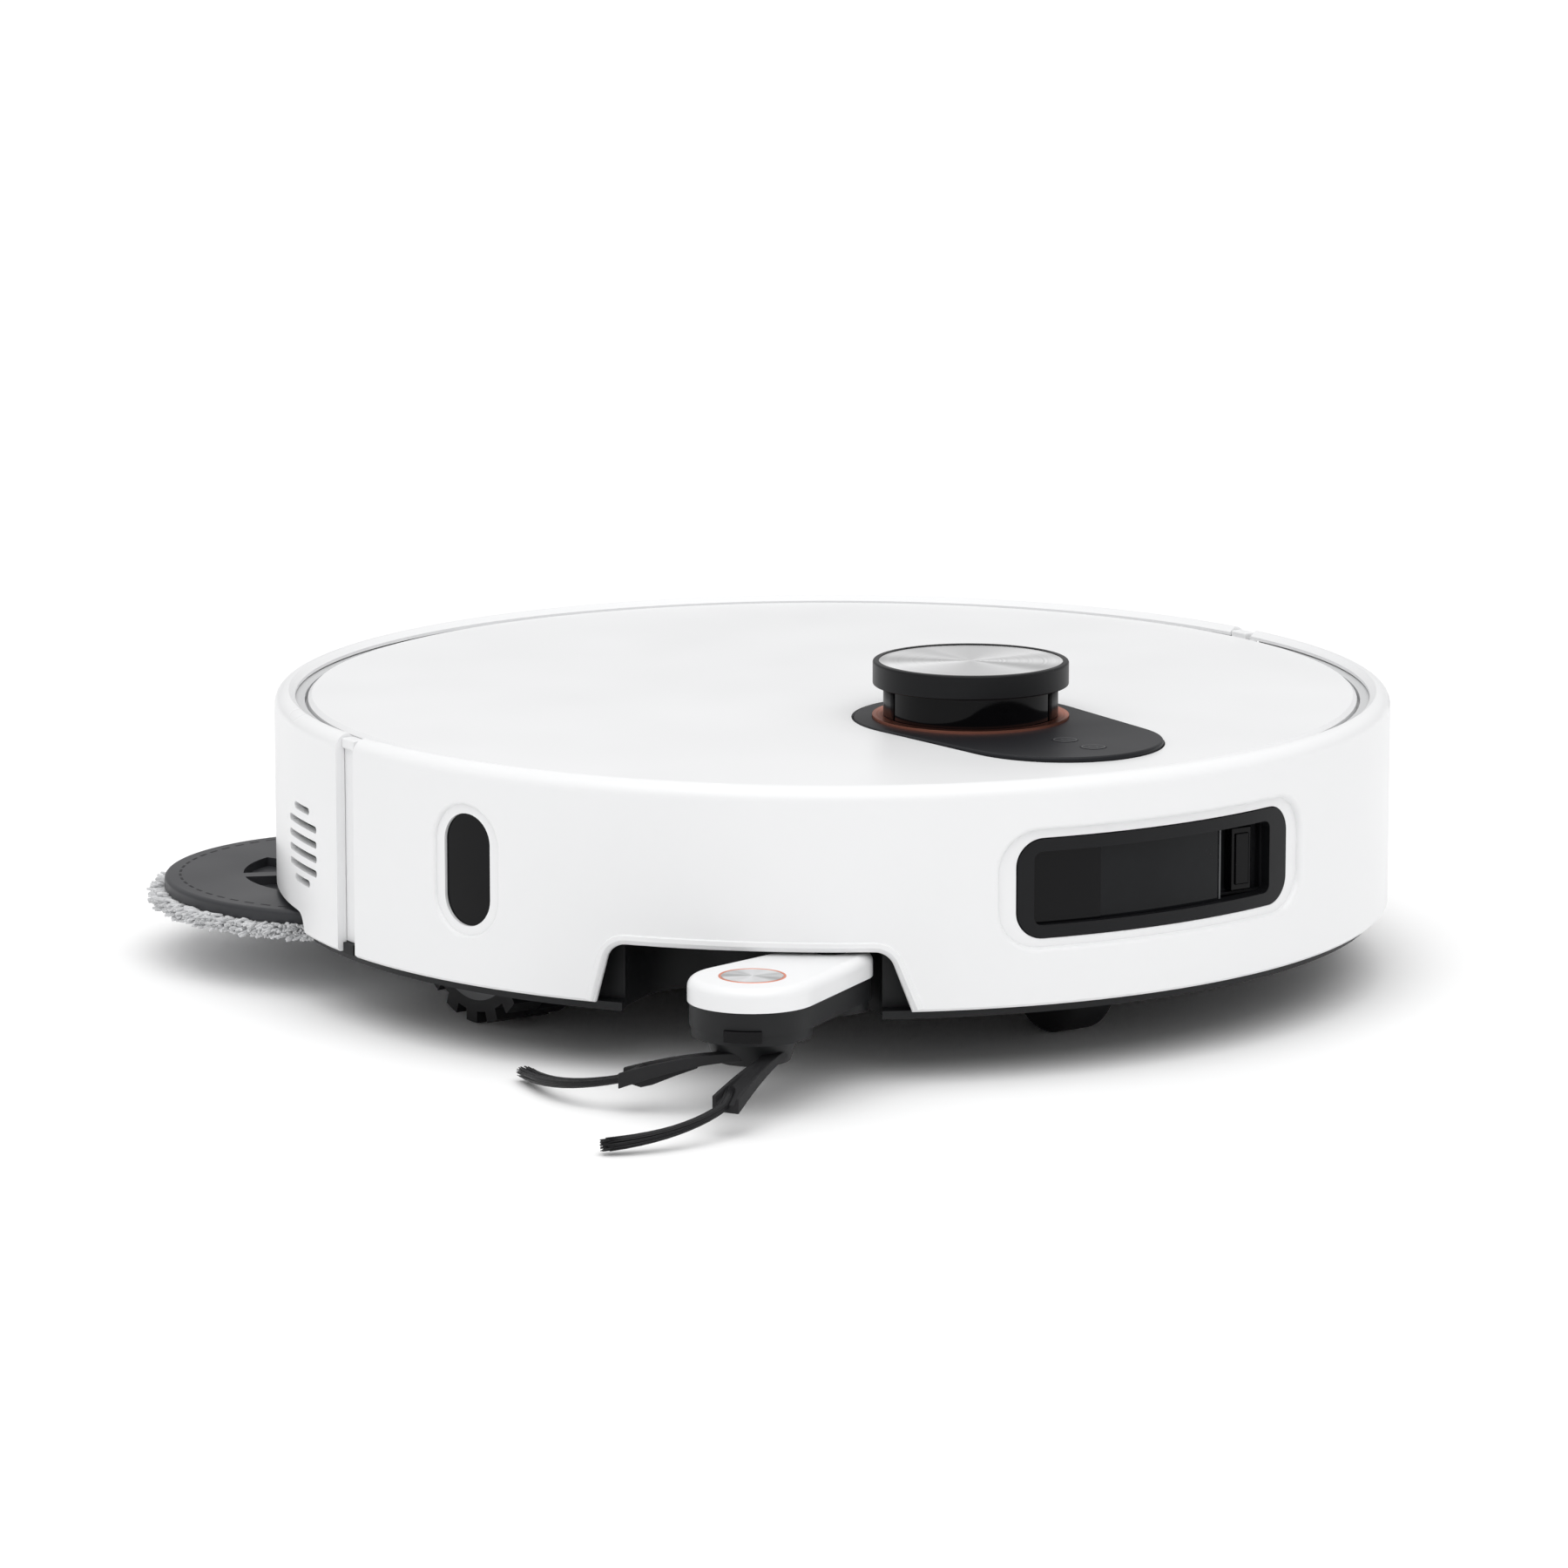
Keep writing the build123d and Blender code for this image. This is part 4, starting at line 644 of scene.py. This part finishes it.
def mop_pad(side, seed):
    """A soft backing with separate yarn ends round its edge and over its underside."""
    node = f"mop_pad_{side}"
    body = f"mop_{side}"
    low, high = (Vector(corner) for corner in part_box(node))
    middle = (low + high) / 2
    outer = (high.x - low.x) / 2
    bottom = low.z
    top = high.z
    rng = random.Random(seed)
    # Backing: a soft disc whose edge bulges a little.
    profile = [
        (HOLE_R, top), (outer - 6 * MM, top), (outer - 3.2 * MM, top - 0.6 * MM),
        (outer - 2.2 * MM, top - 2.2 * MM), (outer - 4.0 * MM, bottom + 1.2 * MM),
        (outer - 9 * MM, bottom + 0.9 * MM), (HOLE_R, bottom + 1.1 * MM),
    ]
    backing = lathe(f"pad_backing_{side}", middle, profile, body, "mop_pad")
    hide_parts(node)
    vertices = []
    faces = []
    # Yarn ends round the edge.
    for i in range(EDGE_YARNS):
        a = 2 * math.pi * (i + rng.random()) / EDGE_YARNS
        out = Vector((math.cos(a), math.sin(a), 0))
        height = rng.uniform(bottom + 1.2 * MM, top - 0.3 * MM)
        root = middle + out * (outer - rng.uniform(2.6, 4.2) * MM)
        root.z = height
        swing = Vector((-out.y, out.x, 0)) * rng.uniform(-0.7, 0.7)
        lean = (out + swing + Vector((0, 0, rng.uniform(-0.7, 0.45)))).normalized()
        path = fibre_path(rng, root, lean, rng.uniform(3.2, 5.4) * MM, 0.14)
        for point in path:
            point.z = max(bottom + 0.6 * MM, min(point.z, top + 0.6 * MM))
        r = rng.uniform(0.45, 0.66) * MM
        add_tube(vertices, faces, path, [r, r, r * 1.05, r * 0.7])
    # Yarn ends over the underside, in a sunflower spiral.
    for i in range(UNDER_YARNS):
        a = GOLDEN_ANGLE * i
        r_at = outer * 0.94 * math.sqrt((i + 0.5) / UNDER_YARNS)
        out = Vector((math.cos(a), math.sin(a), 0))
        root = middle + out * r_at
        root.z = bottom + 1.4 * MM
        lean = Vector((rng.uniform(-1, 1), rng.uniform(-1, 1), -0.35)).normalized()
        path = fibre_path(rng, root, lean, rng.uniform(3.2, 5.0) * MM, 0.25)
        for point in path:
            point.z = max(bottom + 0.6 * MM, min(point.z, bottom + 2.2 * MM))
        r = rng.uniform(0.55, 0.8) * MM
        add_tube(vertices, faces, path, [r, r, r, r * 0.6], sides=4)
    piece(f"pad_yarn_{side}", vertices, faces, body, "mop_pad")


DASHES = 60
DASH_SHARE = 0.55
PLATE_THICK = 4.0


def painted_slot_shadows(side):
    """Painted shadow: short dark dashes in a ring near the edge of the mop plate, standing in for the shade
    inside its perforation slots.
    """
    node = f"mop_plate_{side}"
    low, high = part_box(node)
    outer = (high[0] - low[0]) / 2 / MM
    top = low[2] / MM + PLATE_THICK
    section = ((outer - 5.4, top - 0.2), (outer - 4.6, top - 0.2), (outer - 4.6, top + 0.04),
               (outer - 5.4, top + 0.04))
    vertices = []
    faces = []
    for i in range(DASHES):
        turn = 360.0 * i / DASHES
        add_arc_bar(vertices, faces, centre(node), turn, turn + DASH_SHARE * 360.0 / DASHES, section, 4)
    piece(f"painted_slot_shadows_{side}", vertices, faces, f"mop_{side}", "rubber", smooth=False)


for number, side_name in enumerate(("right", "left")):
    mop_pad(side_name, SEED + number)
    painted_slot_shadows(side_name)

# ---------------------------------------------------------------- side brush

SLEEVE_ANGLES = (151.0, 224.0)
TUFT_TIPS = ((-169.7, -84.9), (-201.6, -174.5))
SLEEVE_START = 7.0
SLEEVE_END = 38.0
SLEEVE_ROWS = 16
ROOT_TURN = 68.0
BRISTLES = 150
TUFT_STEPS = 12
TUFT_HELD = 0.14


def sleeve_height(r):
    """Height of a bristle arm's middle line, in mm, at r mm from the hub."""
    t = (r - SLEEVE_START) / (SLEEVE_END - SLEEVE_START)
    return 17.0 - 7.4 * t * t - 0.8 * t


def side_brush_arm(index, degrees, tip, rng):
    """One rubber arm of the side brush, and the tuft of bristles that it holds."""
    a = math.radians(degrees)
    out = Vector((math.cos(a), math.sin(a), 0))
    across = Vector((-out.y, out.x, 0))
    base = Vector((HUB.x, HUB.y, 0))
    # The arm leaves the hub's edge on a slant and swings round to its own direction.
    root_angle = a + math.radians(ROOT_TURN)
    root = Vector((math.cos(root_angle), math.sin(root_angle), 0)) * 10.0
    bend = out * 17.0 + across * 6.0
    far = out * SLEEVE_END

    def middle_at(t):
        spot = root * (1 - t) ** 2 + bend * (2 * t * (1 - t)) + far * t * t
        return Vector((spot.x, spot.y, sleeve_height(SLEEVE_START + (SLEEVE_END - SLEEVE_START) * t)))

    def side_at(t):
        heading = (bend - root) * (2 * (1 - t)) + (far - bend) * (2 * t)
        heading.normalize()
        return Vector((-heading.y, heading.x, 0))

    vertices = []
    faces = []
    # U-shaped rubber channel that widens outwards; each row is one section of eight points.
    for i in range(SLEEVE_ROWS + 1):
        t = i / SLEEVE_ROWS
        half = 2.0 + 2.3 * t ** 1.5
        tall = 1.2 + 0.7 * t
        wall = 0.8 + 0.2 * t
        lift = max(0.0, t - 0.35) * 2.0
        section = (
            (-half, tall + lift * 0.6), (-half, -tall), (half, -tall), (half, tall + lift * 0.6),
            (half - wall, tall + lift * 0.6), (half - wall - 0.5, tall - lift),
            (-half + wall + 0.5, tall - lift), (-half + wall, tall + lift * 0.6),
        )
        for x, h in section:
            vertices.append(base + (middle_at(t) + side_at(t) * x + Vector((0, 0, h))) * MM)
    add_skin(faces, 0, SLEEVE_ROWS + 1, 8)
    # Stiffening fin below the outer half.
    fin_start = len(vertices)
    for t, depth in ((0.42, 0.2), (0.6, 1.2), (0.78, 2.2), (0.86, 2.0), (0.93, 0.2)):
        for x in (-0.9, 0.9):
            spot = middle_at(t) + side_at(t) * x
            vertices.append(base + (spot + Vector((0, 0, -1.6))) * MM)
            vertices.append(base + (spot + Vector((0, 0, -2.0 - depth))) * MM)
    for i in range(4):
        p = fin_start + 4 * i
        faces.extend([(p, p + 4, p + 5, p + 1), (p + 2, p + 3, p + 7, p + 6), (p + 1, p + 5, p + 7, p + 3),
                      (p, p + 2, p + 6, p + 4)])
    faces.append((fin_start, fin_start + 1, fin_start + 3, fin_start + 2))
    end = fin_start + 16
    faces.append((end, end + 2, end + 3, end + 1))
    sleeve = piece(f"brush_sleeve_{index}", vertices, faces, "side_brush", "rubber", smooth=False)
    round_edges(sleeve, 0.5, 2)

    # Bristles on one curve, gathered in the sleeve and loose at the tip.
    start = base + out * (SLEEVE_END - 7) * MM + Vector((0, 0, (sleeve_height(SLEEVE_END - 7) + 0.4) * MM))
    neck = base + out * SLEEVE_END * MM + Vector((0, 0, (sleeve_height(SLEEVE_END) + 0.3) * MM))
    end_point = Vector((tip[0] * MM, tip[1] * MM, 2.4 * MM))
    bow_a = a - 0.16
    bow = base + Vector((math.cos(bow_a), math.sin(bow_a), 0)) * (57 * MM) + Vector((0, 0, 4.8 * MM))
    vertices = []
    faces = []

    def tuft_line(t):
        if t < TUFT_HELD:
            return start.lerp(neck, t / TUFT_HELD)
        u = (t - TUFT_HELD) / (1 - TUFT_HELD)
        point = neck * (1 - u) ** 2 + bow * (2 * u * (1 - u)) + end_point * u * u
        return point + (bow - (neck + end_point) / 2) * (0.5 * u * (1 - u))

    for _ in range(BRISTLES):
        turn = rng.uniform(0, 2 * math.pi)
        reach = math.sqrt(rng.random())
        stray = rng.uniform(-1, 1)
        extra = rng.uniform(-0.07, 0.0)
        path = []
        radii = []
        for i in range(TUFT_STEPS + 1):
            t = i / TUFT_STEPS * (1 + extra)
            heading = tuft_line(t + 0.02) - tuft_line(max(0.0, t - 0.02))
            beside = Vector((-heading.y, heading.x, 0)).normalized()
            above = heading.cross(beside).normalized()
            spread = (1.3 + 1.1 * t ** 1.5) * MM
            offset = beside * (math.cos(turn) * reach) + above * (math.sin(turn) * reach * 0.8)
            point = tuft_line(t) + offset * spread + beside * (stray * 0.8 * MM * t ** 6)
            point.z = max(point.z, 0.35 * MM)
            path.append(point)
            radii.append((0.25 if i < TUFT_STEPS else 0.15) * MM)
        add_tube(vertices, faces, path, radii, sides=4)
    return piece(f"brush_tuft_{index}", vertices, faces, "side_brush", "bristle")


brush_rng = random.Random(SEED)
for number, (angle, tip) in enumerate(zip(SLEEVE_ANGLES, TUFT_TIPS)):
    side_brush_arm(number, angle, tip, brush_rng)
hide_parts("side_brush_sleeves", "side_brush_tufts")

# ---------------------------------------------------------------- main brush


FINS = 6
FIN_ROWS = 48
FIN_TWIST = 60.0
FIN_OUTER = 20.9 * MM
FIN_INNER = 11.8 * MM


def main_brush_fins():
    """Rubber fins in a chevron: each twists from the middle of the roller to both ends."""
    low, high = (Vector(corner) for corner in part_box("brush_fins"))
    middle = (low + high) / 2
    half = (high.x - low.x) / 2
    # One fin's section: radius, and angle to either side of its own line.
    section = ((FIN_INNER, 0.2), (FIN_OUTER * 0.8, 0.075), (FIN_OUTER, 0.05), (FIN_OUTER, -0.05),
               (FIN_OUTER * 0.8, -0.075), (FIN_INNER, -0.2))
    vertices = []
    faces = []
    for fin in range(FINS):
        start = len(vertices)
        for i in range(FIN_ROWS + 1):
            x = -half + 2 * half * i / FIN_ROWS
            turn = math.radians(FIN_TWIST) * abs(x) / half + 2 * math.pi * fin / FINS
            for r, width in section:
                a = turn + width
                vertices.append(middle + Vector((x, r * math.cos(a), r * math.sin(a))))
        add_skin(faces, start, FIN_ROWS + 1, len(section))
    made = piece("brush_fin_set", vertices, faces, "main_brush", "rubber", smooth=False)
    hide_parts("brush_fins")


main_brush_fins()

# ---------------------------------------------------------------- signs on the keys


MARK_INNER = 3.3 * MM
MARK_OUTER = 3.55 * MM
SIGN_R = 0.13 * MM


def key_mark(node, name, shape):
    """A thin ring on a key's face, with a plain sign inside it; shape holds its strokes in mm."""
    middle = centre(node)
    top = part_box(node)[1][2]
    grey = MATERIALS["grey_plastic"]
    low = top - 0.1 * MM
    high = top + 0.03 * MM
    ring = [(MARK_INNER, low), (MARK_OUTER, low), (MARK_OUTER, high), (MARK_INNER, high)]
    lathe(f"{name}_ring", middle, ring, node, "grey_plastic", 48, grey)
    vertices = []
    faces = []
    for points in shape:
        path = [middle + Vector((x * MM, y * MM, 0)) for x, y in points]
        for point in path:
            point.z = top
        add_tube(vertices, faces, path, [SIGN_R] * len(path), 4, 0.3)
    piece(f"{name}_sign", vertices, faces, node, "grey_plastic", grey)


def arc_points(radius, start, end, steps):
    angles = [math.radians(start + (end - start) * i / steps) for i in range(steps + 1)]
    return [(radius * math.cos(a), radius * math.sin(a)) for a in angles]


key_mark("key_power", "power_mark", (arc_points(1.3, 125, 415, 16), [(0, 0.5), (0, 1.7)]))
key_mark("key_home", "home_mark", ([(-1.4, 0.1), (0, 1.4), (1.4, 0.1)],
                                   [(-1.0, 0.3), (-1.0, -1.2), (1.0, -1.2), (1.0, 0.3)]))

# ---------------------------------------------------------------- camera, light and floor

LENS = 161.6
CAMERA_AT = (-1.2497, -1.7848, 0.4748)
CAMERA_AIM = (-0.0124, 0.0087, 0.0561)
SUN_AT = (-0.45, -0.8, 2.2)
SUN_ENERGY = 1.2
SUN_WIDTH = 70.0
# Colours of the room at the level of the table, and overhead from this height of the sky up.
ROOM_LOW = (0.42, 0.42, 0.425, 1.0)
ROOM_HIGH = (0.9, 0.9, 0.9, 1.0)
ROOM_HIGH_FROM = 0.75
# Just under the object, so that its lowest faces don't lie in the table.
FLOOR_Z = -0.0004


def look_at(obj, target):
    obj.rotation_euler = (Vector(target) - obj.location).to_track_quat("-Z", "Y").to_euler()


def camera():
    data = bpy.data.cameras.new("camera")
    data.lens = LENS
    data.sensor_width = 36.0
    made = bpy.data.objects.new("camera", data)
    made.location = CAMERA_AT
    look_at(made, CAMERA_AIM)
    bpy.context.scene.collection.objects.link(made)
    bpy.context.scene.camera = made


def sun():
    """Very wide, soft light from high above the front, a little to the camera's left."""
    data = bpy.data.lights.new("key", "SUN")
    data.energy = SUN_ENERGY
    data.angle = math.radians(SUN_WIDTH)
    made = bpy.data.objects.new("key", data)
    made.location = SUN_AT
    look_at(made, (0, 0, 0))
    bpy.context.scene.collection.objects.link(made)


def floor():
    """Pale studio table, wide enough to fill the view."""
    corners = [(-7.0, -7.0), (9.0, -7.0), (9.0, 9.0), (-7.0, 9.0)]
    mesh = bpy.data.meshes.new("studio_floor")
    mesh.from_pydata([(x, y, FLOOR_Z) for x, y in corners], [], [(0, 1, 2, 3)])
    made = bpy.data.objects.new("studio_floor", mesh)
    bpy.context.scene.collection.objects.link(made)
    paint = Paint("studio_paper")
    paint.colour(paint.ramp(paint.noise(3.0), (0.3, (0.97, 0.97, 0.97)), (0.7, (0.98, 0.98, 0.98))))
    paint.set(Roughness=0.9, Specular_IOR_Level=0.1)
    dress(made, paint.material)


def world():
    """Soft white room, brighter overhead than at the level of the table."""
    made = bpy.data.worlds.new("studio")
    made.use_nodes = True
    tree = made.node_tree
    background = tree.nodes["Background"]
    place = tree.nodes.new("ShaderNodeTexCoord")
    split = tree.nodes.new("ShaderNodeSeparateXYZ")
    ramp = tree.nodes.new("ShaderNodeValToRGB")
    tree.links.new(place.outputs["Generated"], split.inputs["Vector"])
    tree.links.new(split.outputs["Z"], ramp.inputs["Fac"])
    tree.links.new(ramp.outputs["Color"], background.inputs["Color"])
    ramp.color_ramp.elements[0].position = 0.0
    ramp.color_ramp.elements[0].color = ROOM_LOW
    ramp.color_ramp.elements[1].position = ROOM_HIGH_FROM
    ramp.color_ramp.elements[1].color = ROOM_HIGH
    background.inputs["Strength"].default_value = 1.0
    bpy.context.scene.world = made


camera()
floor()
world()
sun()
bpy.context.scene.view_settings.view_transform = "Standard"
